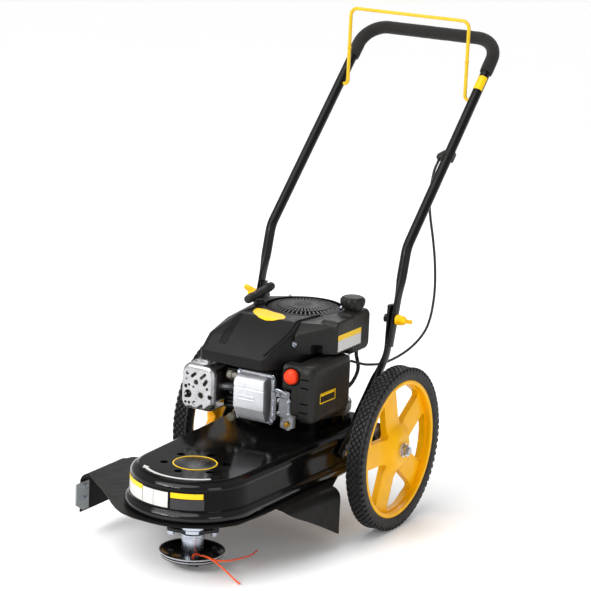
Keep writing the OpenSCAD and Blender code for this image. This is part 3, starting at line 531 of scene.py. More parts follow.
# the two rolled edges carry a deeper gloss than the flat sheet
def edge_gloss(m):
    t = m.node_tree
    b = [x for x in t.nodes if x.type == 'BSDF_PRINCIPLED'][0]
    tc = t.nodes.new('ShaderNodeTexCoord')
    sp = t.nodes.new('ShaderNodeSeparateXYZ')
    mr = t.nodes.new('ShaderNodeMapRange')
    mr.inputs['From Min'].default_value = 0.12
    mr.inputs['From Max'].default_value = 0.22
    cr = t.nodes.new('ShaderNodeValToRGB')
    e = cr.color_ramp.elements
    lo, hi = 0.05, 0.55
    for p, v in ((0.14, hi), (0.33, hi), (0.38, lo), (0.79, lo), (0.83, hi), (0.90, hi)):
        k = e.new(p)
        k.color = (v, v, v, 1)
    for k in (e[0], e[len(e) - 1]):
        k.color = (lo, lo, lo, 1)
    e[len(e) - 1].position = 0.95
    t.links.new(tc.outputs['Object'], sp.inputs[0])
    t.links.new(sp.outputs[2], mr.inputs['Value'])
    t.links.new(mr.outputs[0], cr.inputs[0])
    t.links.new(cr.outputs[0], b.inputs['Coat Weight'])
edge_gloss(M['deck_black'])

# markings on the deck: plain colour blocks, a plain disc with a ring, and a turning arrow
def wall_patch(a0, a1, z0, z1, m, g, lift=0.25):
    n = 16
    rings = []
    for r in (131.0 - 0.3, 131.0 + lift):
        rings.append([((r) * cos(radians(a0 + (a1 - a0) * i / n)), r * sin(radians(a0 + (a1 - a0) * i / n))) for i in range(n + 1)])
    v, f = [], []
    for r in rings:
        v += [(x, y, z0) for x, y in r] + [(x, y, z1) for x, y in r]
    k = n + 1
    for i in range(n):
        f += [(i, i + 1, k + i + 1, k + i), (2 * k + i, 3 * k + i, 3 * k + i + 1, 2 * k + i + 1),
              (k + i, k + i + 1, 3 * k + i + 1, 3 * k + i), (i, 2 * k + i, 2 * k + i + 1, i + 1)]
    f += [(0, k, 3 * k, 2 * k), (n, 2 * k + n, 3 * k + n, k + n)]
    g.add((v, f), m)
g = G()
wall_patch(212, 250.4, 186.5, 196, 1, g)
wall_patch(212, 250.4, 162, 186, 0, g)
wall_patch(251.0, 264.0, 162, 194, 0, g)
wall_patch(264.4, 279.0, 162, 194, 0, g)
wall_patch(281.5, 310.5, 184, 195, 1, g)
wall_patch(281.5, 311.5, 161, 182.6, 2, g, 0.2)
piece("nose_blocks", g, ['decal_white', 'decal_yellow', 'decal_grey'], 'chassis', smooth=30)
g = G()
g.add(lathe([(0, 216.6), (43.2, 216.6), (43.2, 217.3), (42.8, 217.5), (0, 217.5)], 64), 0)
g.add(lathe([(43.2, 216.6), (45.8, 216.6), (45.8, 217.5), (45.4, 217.9), (43.6, 217.9), (43.2, 217.5)], 64), 1)
piece("nose_disc", g, ['disc_black', 'decal_yellow'], 'chassis', smooth=30)
g = G()
n = 40
a0, a1 = 233.0, 320.0
arc = [radians(a0 + (a1 - a0) * i / n) for i in range(n + 1)]
poly = [(107.8 * cos(a), 107.8 * sin(a)) for a in arc] + [(101.2 * cos(a), 101.2 * sin(a)) for a in reversed(arc)]
h = radians(a0)
tip = radians(a0 - 9)
poly += [(97.0 * cos(h), 97.0 * sin(h)), (104.5 * cos(tip), 104.5 * sin(tip)), (112.0 * cos(h), 112.0 * sin(h))]
g.add(plate(poly, [], 216.6, 217.35))
piece("turn_arrow", g, 'decal_white', 'chassis', smooth=30)

# ---------------------------------------------------------------- guard sheet with its two bent wings
def guard():
    t, z1 = 2.5, 134.0
    z0 = z1 - t
    fx = 271.0
    out = [(153.9 * cos(radians(266 + 3 * i)), 153.9 * sin(radians(266 + 3 * i))) for i in range(25)]
    out += [(152, 30), (152.0, 71.0), (175, 262), (150, 330), (150, 525), (-150, 525), (-150, 250), (-190, 205), (-fx + 6, 168), (-fx, 150)]
    out += [(-fx, 14)] + [tuple(p[:2]) for p in crom([(-fx, 14, 0), (-232, -17, 0), (-190, -50, 0), (-140, -96, 0), (-110, -122, 0), (-79, -141, 0), (-45, -151, 0)], 4)][1:]
    holes = [circle(0, 0, 30, 40)] + [circle(44 * cos(radians(30 + 180 * i)), 44 * sin(radians(30 + 180 * i)), 4, 16) for i in range(2)]
    g = G()
    g.add(plate(out, holes, z0, z1))
    ro, ri = 22.0, 19.5
    nb = 14
    def section(down):
        o = [(0, 0)] + [(ro * sin(pi / 2 * i / nb), -ro + ro * cos(pi / 2 * i / nb)) for i in range(1, nb + 1)] + [(ro, -down)]
        i_ = [(0, -t)] + [(ri * sin(pi / 2 * i / nb), -ro + ri * cos(pi / 2 * i / nb)) for i in range(1, nb + 1)] + [(ri, -down)]
        return o + list(reversed(i_))
    # cutter side: straight along Y, a little curl left in the sheet
    rings = []
    for k in range(9):
        y = 14 + 136 * k / 8
        curl = 1.2 * sin(pi * k / 8)
        rings.append([(-fx - x * (1 - 0.0) + (curl if z < -40 else 0), y, z1 + z) for x, z in section(88)])
    g.add(loft(rings))
    # plain side: along a slanted line, lower edge cut off on a slant
    a, b = Vector((175, 262, 0)), Vector((152.0, 71.0, 0))
    d = (b - a).normalized()
    nrm = Vector((-d.y, d.x, 0))
    if nrm.x < 0:
        nrm = -nrm
    low = [(270, 31), (262, 33), (226, 52), (190, 70), (155, 87), (120, 102), (95, 115), (80, 124), (70, 131)]
    def low_z(y):
        for (y1, s1), (y2, s2) in zip(low, low[1:]):
            if y2 <= y <= y1:
                return s2 + (s1 - s2) * (y - y2) / (y1 - y2)
        return low[0][1] if y > 262 else low[-1][1]
    rings = []
    nk = 16
    for k in range(nk + 1):
        p = a + (b - a) * k / nk
        dn = min(z1 - low_z(p.y), 100.5)
        sec = section(max(dn, ro + 0.5)) if dn > ro else section(ro + 0.3)
        ring = []
        for x, z in sec:
            zz = max(z, -dn)
            ring.append((p.x + nrm.x * x, p.y + nrm.y * x, z1 + zz))
        rings.append(ring)
    g.add(loft(rings))
    piece("guard_sheet", g, 'sheet_black', 'chassis', ["guard_plate"], smooth=28)
guard()

# ---------------------------------------------------------------- wheels
def wheel(side, body):
    s = 1 if side == 'left' else -1
    W = Matrix.Translation((s * 216, 450, 178)) @ (Matrix.Identity(4) if s > 0 else MIR) @ ALONG_X
    # carcass: local z is the axle direction, outwards
    g = G()
    prof = [(150, -15.5), (152, -17.6), (154.5, -18.6), (159, -19.4), (164, -19.9), (168, -19.6), (170.6, -18.4), (172.2, -16.4), (172.9, -14.2), (173.1, -11.5), (173.2, -6), (173.2, 6),
            (173.1, 11.5), (172.9, 14.2), (172.2, 16.4), (170.6, 18.4), (168, 19.6), (164, 19.9), (159, 19.4), (154.5, 18.6), (152, 17.6), (150, 15.5)]
    v, f = lathe(prof, 120)
    k = len(prof)
    g.v += [W @ Vector(p) for p in v]
    g.f += f
    for q in range(len(f)):
        j = q % k
        g.m.append(2 if 8 <= j <= 12 else 0)
    # diamond blocks
    nb = 74
    def block(a, z, da, dz, top, base):
        c0 = []
        for k2, (rad, grow) in enumerate(((base, 1.22), (top - 0.5, 1.0), (top, 0.86))):
            c0.append([((rad) * cos(a + grow * da * u), (rad) * sin(a + grow * da * u), z + grow * dz * w) for u, w in ((1, 0), (0, 1), (-1, 0), (0, -1))])
        return loft(c0)
    step = 2 * pi / nb
    for i in range(nb):
        for row, z in enumerate((-12.6, -6.3, 0, 6.3, 12.6)):
            a = step * (i + (0.5 if row % 2 else 0))
            top = 176.9 if abs(z) < 10 else 176.5
            g.add(block(a, z, step * 0.40, 5.0, top, 172.4), 1, W)
        # shoulder lugs
        for sg in (-1, 1):
            a = step * (i + 0.5)
            w = step * 0.30
            rings = []
            for rad, zz, gr in ((171.0, 12.8, 1.15), (177.9, 12.6, 1.0), (177.8, 17.0, 0.86), (173.6, 19.7, 0.95), (166.4, 19.6, 1.05)):
                rings.append(((rad * cos(a - w * gr), rad * sin(a - w * gr), sg * zz), (rad * cos(a + w * gr), rad * sin(a + w * gr), sg * zz)))
            vv = [p[0] for p in rings] + [p[1] for p in rings]
            ff = [(0, 1, 2, 3, 4), (9, 8, 7, 6, 5)] + [(j, (j + 1) % 5, 5 + (j + 1) % 5, 5 + j) for j in range(5)]
            g.add((vv, ff), 1, W)
    piece(side + "_tyre_tread", g, ['tyre', 'tread', 'groove'], body, [side + "_tyre"], smooth=32)
    # rim: ring, five broad spokes and a flared hub
    g = G()
    ring = [(150, -15.6), (150, 15.6), (149.4, 16.4), (147.6, 17), (144.6, 17), (142.6, 16.6), (141.2, 15.6), (140.8, 13.6), (141.6, 6), (142, 2.2), (142, -12), (142.6, -14.4), (144, -15.4), (147.5, -16)]
    g.add(lathe(ring, 120), 0, W)
    tip, top, spoke = 51.0, 140.4, 27.0
    def flank(r):
        return r * math.tan(radians(36) - math.asin(spoke / r))
    def half(r):
        """Half width of a window at radius r, as an angle."""
        if r <= tip or r >= top:
            return 0.0
        w = flank(r)
        if r < tip + 5:
            w *= sqrt(max(0.04, 1 - ((tip + 5 - r) / 5) ** 2))
        c = top - 9
        if r > c:
            w = min(w, flank(c)) - 9 + 9 * sqrt(max(0, 1 - ((r - c) / 9) ** 2))
        return math.atan2(max(w, 1.2), r)
    radii = [13.2, 20, 27, 29.5, 34, 40, 45, 48.5, tip, tip + 0.9, tip + 2.4, tip + 5, 66, 75, 84, 94, 104, 114, 123, top - 9, top - 6.2, top - 3.6, top - 1.6, top - 0.5, top, 141.2, 142.4]
    ms, mg = 8, 6
    def front(r, u):
        flare = 19.5 * (0.5 + 0.5 * cos(pi * min(1, max(0, (r - 29) / 36)))) if r > 29 else 19.5
        crown = 2.6 * (1 - u * u) * min(1, max(0, (r - 40) / 25)) * min(1, max(0, (141 - r) / 14))
        return 2.0 + flare + crown
    rows_f, rows_b = [], []
    for r in radii:
        rf, rb = [], []
        for k in range(5):
            c = radians((-75 if s > 0 else -110) + 36 + 72 * k)
            w = radians(36) - half(r)
            for j in range(ms + 1):
                u = -1 + 2 * j / ms
                a = c + u * w
                rf.append((r * cos(a), r * sin(a), front(r, u)))
                rb.append((r * cos(a), r * sin(a), -12.0 if r > 30 else -24.6))
            h = half(r)
            cw = c + radians(36)
            for j in range(1, mg):
                a = cw - h + 2 * h * j / mg if h > 0 else cw
                rf.append((r * cos(a), r * sin(a), front(r, 1)))
                rb.append((r * cos(a), r * sin(a), -12.0 if r > 30 else -24.6))
        rows_f.append(rf)
        rows_b.append(rb)
    n = len(rows_f[0])
    per = ms + 1 + mg - 1
    v = [p for r in rows_f for p in r] + [p for r in rows_b for p in r]
    off = n * len(radii)
    f = []
    for i in range(len(radii) - 1):
        gap_open = half((radii[i] + radii[i + 1]) / 2) > 0
        for k in range(5):
            b = k * per
            cells = [(b + j, b + j + 1) for j in range(ms)]
            gaps = [(b + ms + j, (b + ms + j + 1) % n) for j in range(mg)]
            for j1, j2 in cells:
                f.append((i * n + j1, i * n + j2, (i + 1) * n + j2, (i + 1) * n + j1))
                f.append((off + i * n + j1, off + (i + 1) * n + j1, off + (i + 1) * n + j2, off + i * n + j2))
            if gap_open:
                for j in (b + ms, (b + per) % n):
                    f.append((i * n + j, (i + 1) * n + j, off + (i + 1) * n + j, off + i * n + j))
            else:
                for j1, j2 in gaps:
                    if half(radii[i]) == 0 and half(radii[i + 1]) == 0:
                        # away from the windows these cells have no width
                        continue
    # close the window ends
    for i in range(len(radii)):
        if half(radii[i]) == 0 and i + 1 < len(radii) and half(radii[i + 1]) > 0:
            start = i + 1
        if half(radii[i]) > 0 and half(radii[i + 1]) == 0:
            end = i
    for i in (start, end):
        for k in range(5):
            b = k * per
            js = [b + ms + j for j in range(mg)] + [(b + per) % n]
            for j1, j2 in zip(js, js[1:]):
                f.append((i * n + j1, i * n + j2, off + i * n + j2, off + i * n + j1))
                o2 = i - 1 if i == start else i + 1
                # fill between the window's end and the next full ring
                f.append((i * n + j1, i * n + j2, o2 * n + j2, o2 * n + j1))
                f.append((off + i * n + j1, off + o2 * n + j1, off + o2 * n + j2, off + i * n + j2))
    for i in (0, len(radii) - 1):
        for j in range(n):
            f.append((i * n + j, i * n + (j + 1) % n, off + i * n + (j + 1) % n, off + i * n + j))
    g.add((v, f), 0, W)
    piece(side + "_rim_spokes", g, 'rim_yellow', body, [side + "_rim"], smooth=36)
wheel('left', 'left_wheel')
wheel('right', 'right_wheel')

# ---------------------------------------------------------------- handle
HB, HT = (550.0, 594.0), (949.0, 1000.0)
def hp(t):
    return HB[0] + (HT[0] - HB[0]) * t, HB[1] + (HT[1] - HB[1]) * t

def flat_tube(q, r, flatness, n=28, groove=None):
    """Round tube along q; flatness(i) is 0 round to 1 pressed flat across X. groove(i) presses two lines into the flats."""
    q = [Vector(x) for x in q]
    rings = []
    X = Vector((1, 0, 0))
    for i, (t, u, v) in enumerate(frames(q)):
        a = X - t * X.dot(t)
        k = flatness(i)
        if a.length < 0.2 or k == 0:
            uu, vv, k = u, v, 0
        else:
            uu = a.normalized()
            vv = t.cross(uu)
        sx, sy = 1 + (0.45 - 1) * k, 1 + (1.28 - 1) * k
        ring = []
        for j in range(n):
            an = 2 * pi * j / n
            cx, cy = r * cos(an) * sx, r * sin(an) * sy
            if groove and groove(i) and 2.0 < abs(cy) < 7.6:
                cx -= math.copysign(1.1, cx)
            ring.append(q[i] + uu * cx + vv * cy)
        rings.append(ring)
    return rings

def dense(p, step=9.0):
    q = [Vector(p[0])]
    for a, b in zip(p, p[1:]):
        a, b = Vector(a), Vector(b)
        k = max(1, int(round((b - a).length / step)))
        q += [a + (b - a) * i / k for i in range(1, k + 1)]
    return q

def untwist(rings):
    """Turn each ring's start so that it lines up with the ring before."""
    out = [rings[0]]
    for r in rings[1:]:
        p = out[-1]
        n = len(r)
        best = min(range(n), key=lambda s: sum((r[(j + s) % n] - p[j]).length_squared for j in range(0, n, 4)))
        out.append([r[(j + best) % n] for j in range(n)])
    return out

def upper_handle():
    h = [(170, 495, 385), (170, HB[0], HB[1]), (170, HT[0], HT[1]), (-170, HT[0], HT[1]), (-170, HB[0], HB[1]), (-170, 495, 385)]
    q = dense(bent(h, 56, 10), 12)
    def fl(i):
        z = q[i].z
        if q[i].y > 700:
            return 0
        if z < 482:
            return 1
        if z > 531:
            return 0
        t = (531 - z) / 49
        return t * t * (3 - 2 * t)
    gr = lambda i: 408 < q[i].z < 520 and q[i].y < 545 and not (428 < q[i].z < 458)
    g = G()
    g.add(loft(untwist(flat_tube(q, 11, fl, 32, gr))))
    cut = G()
    for s in (-1, 1):
        cut.add(lathe([(0, -14), (4.3, -14), (4.3, 14), (0, 14)], 24, T(s * 170, 510, 443) @ ALONG_X))
    y, z = hp(0.70)
    for s in (-1, 1):
        cut.add(lathe([(0, -3), (4.1, -3), (4.1, 16), (0, 16)], 24, T(s * 168, y, z) @ (ALONG_X if s < 0 else MIR @ ALONG_X)))
    piece("handle_tube", g, 'tube_black', 'handle', ["upper_handle"], smooth=50, cut=cut)
    # plain band on the near tube
    a, b = hp(0.747), hp(0.81)
    q2 = [Vector((170, a[0] + (b[0] - a[0]) * i / 6, a[1] + (b[1] - a[1]) * i / 6)) for i in range(7)]
    t = (q2[-1] - q2[0]).normalized()
    X = Vector((1, 0, 0))
    W = t.cross(X)
    if W.y > 0:
        W = -W
    # a patch bent round the tube's front
    rings = []
    for p in q2:
        arc = [radians(k) for k in range(10, 171, 10)]
        rings.append([p + 11.4 * (cos(k) * X + sin(k) * W) for k in arc] + [p + 10.7 * (cos(k) * X + sin(k) * W) for k in reversed(arc)])
    piece("handle_band", G().add(loft(rings)), 'decal_yellow', 'handle', smooth=40)
upper_handle()

def lower_handle(side):
    s = 1 if side == 'left' else -1
    lx = 170 - 0.9 * 11 - 0.4
    foot, knee, top = Vector((149.6, 335, 176)), Vector((lx, 506, 366)), Vector((lx, 511, 474))
    q = dense(bent([foot, knee, top], 60, 10), 9)
    L = (knee - foot).length
    def fl(i):
        t = (q[i] - foot).dot((knee - foot).normalized()) / L
        if q[i].z > 330:
            return 1
        if t < 0.24 or t > 0.86:
            return 1
        if 0.42 <= t <= 0.74:
            return 0
        k = (0.42 - t) / 0.18 if t < 0.42 else (t - 0.74) / 0.12
        return k * k * (3 - 2 * k)
    rings = untwist(flat_tube(q, 11, fl, 28))
    if s < 0:
        rings = [[Vector((-p.x, p.y, p.z)) for p in r] for r in rings]
    cut = G()
    cut.add(lathe([(0, -14), (4.05, -14), (4.05, 14), (0, 14)], 24, T(s * lx, 510, 443) @ ALONG_X))
    for y, z in ((341, 182.7), (351.3, 194.1)):
        cut.add(lathe([(0, -14), (4.05, -14), (4.05, 14), (0, 14)], 24, T(s * 150, y, z) @ ALONG_X))
    piece(side + "_lower_tube", G().add(loft(rings)), 'tube_black', 'chassis', ["lower_handle_" + side], smooth=50, cut=cut)
lower_handle('left')
lower_handle('right')

def foam():
    a = hp(0.8375)
    q = dense(bent([(170, a[0], a[1]), (170, HT[0], HT[1]), (-170, HT[0], HT[1]), (-170, a[0], a[1])], 56, 12), 7)
    n = 28
    rings = []
    nq = len(q)
    fr = frames(q)
    prof = []
    for i in range(nq):
        prof.append((i, 14.7 if 0 < i < nq - 1 else 14.0))
    for i, r in prof:
        t, u, v = fr[i]
        ring = []
        for k in range(n):
            an = 2 * pi * k / n
            w = noise.noise(Vector((i * 0.35, cos(an) * 1.3, sin(an) * 1.3))) * 0.3
            ring.append(q[i] + (r + w) * (cos(an) * u + sin(an) * v))
        rings.append(ring)
    for i in reversed(range(nq)):
        t, u, v = fr[i]
        rings.append([q[i] + 11.05 * (cos(2 * pi * k / n) * u + sin(2 * pi * k / n) * v) for k in range(n)])
    o = piece("grip_sleeve", G().add(loft(rings, close=True)), 'foam', 'handle', ["foam_grip"], smooth=50)
foam()

def bail():
    y, z = hp(0.70)
    p = [(168.8, y, z), (149, y, z), (149, y, z + 60), (149, y, 1052), (-149, y, 1052), (-149, y, z + 60), (-149, y, z), (-168.8, y, z)]
    left = bent([p[0], p[1], p[2]], 9, 8)[:-1]
    over = bent([p[2], p[3], p[4], p[5]], 17, 10)
    right = bent([p[5], p[6], p[7]], 9, 8)[1:]
    q = left + over + right
    g = G()
    g.add(tube(dense(q, 14), 4.0, 16))
    piece("bail_rod", g, 'bail_yellow', 'bail_bar', ["bail"], smooth=50)
    # crimped stops on the two legs
    g = G()
    for s in (-1, 1):
        g.add(lathe([(3.9, -3), (4.6, -2.4), (4.9, 0), (4.6, 2.4), (3.9, 3)], 20, T(s * 149, y, 962)))
    piece("bail_stops", g, 'bail_yellow', 'bail_bar', smooth=50)
bail()

def knob(side):
    s = 1 if side == 'left' else -1
    kin = 170 + 0.45 * 11 + 0.5
    B = Matrix.Translation((s * kin, 510, 443)) @ (Matrix.Identity(4) if s > 0 else MIR) @ Matrix.Rotation(radians(-16 if s > 0 else 115), 4, 'X')
    g = G()
    # hub: bored cup with a rounded skirt
    prof = [(0, 14.3), (4.1, 14.3), (4.1, 0), (10.6, 0), (11.4, 0.8), (11.5, 4), (11.1, 8), (10.7, 12), (10.2, 15.5), (9.0, 18.6), (7.2, 21), (4.6, 22.8), (0, 23.6)]
    g.add(lathe(prof, 40), 0, B @ ALONG_X)
    for m in (-1, 1):
        o = [(2, 8.5), (6, 10.6), (10, 13), (15, 15.4), (20, 17.4), (25, 18.9), (28.4, 18.6), (29.8, 17), (29.9, 13.6), (28.6, 10.4), (25, 7.4), (20.5, 4.6), (17, 2.4), (14.6, 0.2), (8, 0), (2, 0)]
        o = [Vector((a, b * m, 0)) for a, b in o]
        c = sum(o, Vector()) / len(o)
        rings = []
        for z, k in ((-4.5, 0.86), (-4.2, 0.93), (-3.2, 0.985), (-1.4, 1.0), (1.4, 1.0), (3.2, 0.985), (4.2, 0.93), (4.5, 0.86)):
            rings.append([Vector((c.x + (p.x - c.x) * k, c.y + (p.y - c.y) * k, z)) for p in o])
        g.add(loft(rings), 0, B)
    piece(side + "_wing_knob", g, 'knob_yellow', side + '_knob', ["knob_" + side], smooth=40)
knob('left')
knob('right')

# clamp that holds the cable to the left tube
def clamp():
    y, z = hp(0.437)
    B = T(170, y, z, rx=-44.5)
    g = G()
    # wedge: narrow at its upper end, broad where the cable comes out
    side = [(11.8, -11), (11.2, -12.4), (9.6, -12.9), (-24, -12.9), (-25.4, -12.3), (-25.9, -11), (-25.9, -5.4), (-25.2, -3.2), (-13.6, 8.9), (-11.2, 10.4),
            (-8.6, 10.8), (9.6, 10.8), (11.2, 10.2), (11.8, 8.8)]
    mid = Vector((-7, -1, 0))
    rings = []
    for y, k in ((-3.5, 0.90), (-3.1, 0.95), (-2.2, 0.985), (-0.6, 1.0), (9.4, 1.0), (11, 0.985), (11.9, 0.95), (12.3, 0.90)):
        rings.append([Vector((mid.x + (x - mid.x) * k, y, mid.y + (z - mid.y) * k)) for x, z in side])
    g.add(loft(rings), 0, B)
    cut = G().add(lathe([(0, -40), (11.05, -40), (11.05, 40), (0, 40)], 32), 0, B)
    cut.add(rbox((-27, -1, -2.2), (-10, 14, 2.2), 0.8, 0.3, 'Z'), 0, B)
    piece("cable_bracket", g, 'shroud_black', 'handle', ["cable_clamp"], smooth=40, cut=cut)
    g = G().add(lathe([(11.06, -9), (11.5, -9), (11.75, -8.7), (11.75, 0.7), (11.5, 1), (11.06, 1)], 40), 0, B)
    piece("cable_strap", g, 'tube_black', 'handle', smooth=40)
clamp()

# ---------------------------------------------------------------- engine, in its own frame: crankshaft at the origin, seat at z 0
EM = Matrix.Translation((0, 415, 243))

def hull_mesh(name, pts, mats):
    bm = bmesh.new()
    for p in pts:
        bm.verts.new(Vector(p) * K)
    r = bmesh.ops.convex_hull(bm, input=bm.verts)
    bmesh.ops.delete(bm, geom=list({x for x in r['geom_interior'] + r['geom_unused'] if isinstance(x, bmesh.types.BMVert)}), context='VERTS')
    bmesh.ops.recalc_face_normals(bm, faces=bm.faces)
    me = bpy.data.meshes.new(name)
    bm.to_mesh(me)
    bm.free()
    for x in mats:
        me.materials.append(M[x])
    o = bpy.data.objects.new(name, me)
    scene.collection.objects.link(o)
    return o

HOOD = [(-112, -208, 153, 12), (24, -206, 153, 12), (-106, -175, 181, 18), (-106, -112, 199, 18), (-104, 40, 214, 18), (62, -140, 160, 18),
        (78, -60, 170, 16), (78, 60, 170, 16), (-46, 70, 200, 48), (46, 70, 200, 48)]
HOOD_TOP = [(50, -152, 191, 14), (54, -115, 219, 15), (-74, -115, 218, 16), (80, -15, 218, 14)]
def hood_points(o, d, rho=5.0):
    pts = []
    def post(x, y, z0, top, r, n):
        r += o
        e = min(rho, r * 0.7)
        for i in range(n):
            a = 2 * pi * i / n
            pts.append((x + r * cos(a), 415 + y + r * sin(a), 243 + z0))
            for b in range(4):
                t = pi / 2 * b / 3
                rr_ = r - e + e * cos(t)
                pts.append((x + rr_ * cos(a), 415 + y + rr_ * sin(a), 243 + top + o - e + e * sin(t)))
    for x, y, top, r in HOOD:
        post(x, y, 129 - d, top, r, 32 if r < 40 else 56)
    for x, y, top, r in HOOD_TOP:
        post(x, y, top - 14, top, r, 32)
    post(0, 0, 206, 220, 91, 88)
    return pts

def hood():
    o = hull_mesh("blower_hood", hood_points(0, 0), ['hood_black'])
    bm = bmesh.new()
    bm.from_mesh(o.data)
    tree = BVHTree.FromBMesh(bm)
    bm.free()
    def on(x, y, lift=0.0):
        hit = tree.ray_cast(Vector((x, 415 + y, 900)) * K, Vector((0, 0, -1)))
        p, nrm = hit[0] / K, hit[1]
        return p + nrm * lift, nrm
    # inside
    inner = hull_mesh("hood_inside", hood_points(-3.5, 4), [])
    g = G()
    g.v = [v.co / K for v in inner.data.vertices]
    g.f = [tuple(p.vertices) for p in inner.data.polygons]
    me = inner.data
    bpy.data.objects.remove(inner)
    bpy.data.meshes.remove(me)
    carve(o, g)
    cut = G()
    cut.add(lathe([(0, 198), (84, 198), (84, 260), (0, 260)], 88), 0, EM)
    carve(o, cut)
    # channels pressed in the hood: the strip at the left, and the step beside the ridge at the right
    path = [(-77, -203), (-77, -190), (-78, -172), (-78, -150), (-77, -128), (-75.5, -108), (-73, -88), (-71, -70)]
    left = [on(x, y, 14.0)[0] for x, y in path]
    right = [on(x, y, 2.2)[0] for x, y in ((36, -205), (45, -184), (54, -164), (61, -144), (64, -122), (66, -100), (70, -74), (75, -48))]
    cut = G().add(tube(crom(left, 4), 16.6, 36))
    carve(o, cut)
    cut = G().add(tube(crom(right, 4), 3.6, 14))
    carve(o, cut)
    # recess in the side panel, over the air filter
    cut = G().add(rbox((84, -84, 141), (110, -50, 166), 3, 1.0, 'X'), 0, EM)
    carve(o, cut)
    soften(o, 26)
    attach(o, 'chassis')
    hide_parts("blower_housing")
    # rope guide
    g = G()
    g.add(lathe([(4.2, 440), (13, 440), (13, 463), (12.4, 466.4), (10.4, 468.6), (7, 469), (4.8, 468.4), (4.2, 466)], 36), 0, T(-92, 381, 0))
    piece("rope_guide", g, 'shroud_black', 'chassis', smooth=40)
    # ridge along the right of the front panel
    g = G()
    ridge = [on(x, y, 0.3)[0] for x, y in ((27, -207), (36, -186), (45, -166), (52, -146), (55, -124), (57, -102), (61, -76), (66, -50))]
    g.add(tube(crom(ridge, 5), 3.2, 14))
    piece("hood_ridge", g, 'hood_black', 'chassis', smooth=60)
    # floors of the channels and of the recess, in a blacker material: painted shade
    g = G()
    g.add(tube(crom([on(x, y, -2.2)[0] for x, y in ((37, -203), (45, -184), (54, -164), (61, -144), (64, -122), (66, -100), (70, -74), (75, -50))], 4), 2.0, 10))
    g.add(rbox((81, -86, 139), (86.5, -48, 168), 3, 0.8, 'X'), 0, EM)
    piece("hood_channels", g, 'shroud_dark', 'chassis', smooth=60)
    # screw with its washer
    p, nrm = on(68, -152, 0.0)
    g = G()
    bolt(g, p - nrm * 0.4, nrm, 4.2, 4.0, 1.0, 0, 6.2)
    for x, y in ((-70, 60), (70, 40)):
        p, nrm = on(x, y, 0)
        bolt(g, p - nrm * 0.3, nrm, 3.6, 3.2, 0.8, 0, 5.2)
    piece("hood_screws", g, 'zinc', 'chassis', smooth=30)
    # plain accent along the front edge of the grille
    def draped(rows, name, m, lift=0.55, sink=0.6):
        top, bot = [], []
        for row in rows:
            top.append([on(x, y, lift)[0] for x, y in row])
            bot.append([on(x, y, -sink)[0] for x, y in row])
        nr, nc = len(rows), len(rows[0])
        v = [p for r in top for p in r] + [p for r in bot for p in r]
        off = nr * nc
        f = []
        for i in range(nr - 1):
            for j in range(nc - 1):
                a, b, c, d = i * nc + j, i * nc + j + 1, (i + 1) * nc + j + 1, (i + 1) * nc + j
                f += [(a, b, c, d), (off + d, off + c, off + b, off + a)]
        edge = [(0, j) for j in range(nc)] + [(i, nc - 1) for i in range(1, nr)] + [(nr - 1, j) for j in range(nc - 2, -1, -1)] + [(i, 0) for i in range(nr - 2, 0, -1)]
        ids = [i * nc + j for i, j in edge]
        for a, b in zip(ids, ids[1:] + ids[:1]):
            f.append((a, b, off + b, off + a))
        piece(name, G().add((v, f)), m, 'chassis', smooth=40)
    edge = [(230, 103, 108), (235, 96, 117), (240, 92.5, 124.5), (247, 91, 131), (255, 90.5, 135.5), (264, 90.5, 136.5), (271, 93, 133), (276, 100, 128), (281, 113, 121)]
    rows = []
    for (a1, i1, o1), (a2, i2, o2) in zip(edge, edge[1:]):
        for k in range(4):
            t = k / 4
            a, ri, ro = radians(a1 + (a2 - a1) * t), i1 + (i2 - i1) * t, o1 + (o2 - o1) * t
            rows.append([((ri + (ro - ri) * j / 8) * cos(a), (ri + (ro - ri) * j / 8) * sin(a)) for j in range(9)])
    draped(rows, "hood_accent", 'decal_yellow')
    # floor of the strip at the left, in a blacker material: painted shade
    mid = crom([(x, y, 0) for x, y in path], 4)
    draped([[(p.x - 7.4 + 14.8 * j / 8, p.y) for j in range(9)] for p in mid], "hood_strip", 'shroud_dark', -0.9, 3.0)
hood()

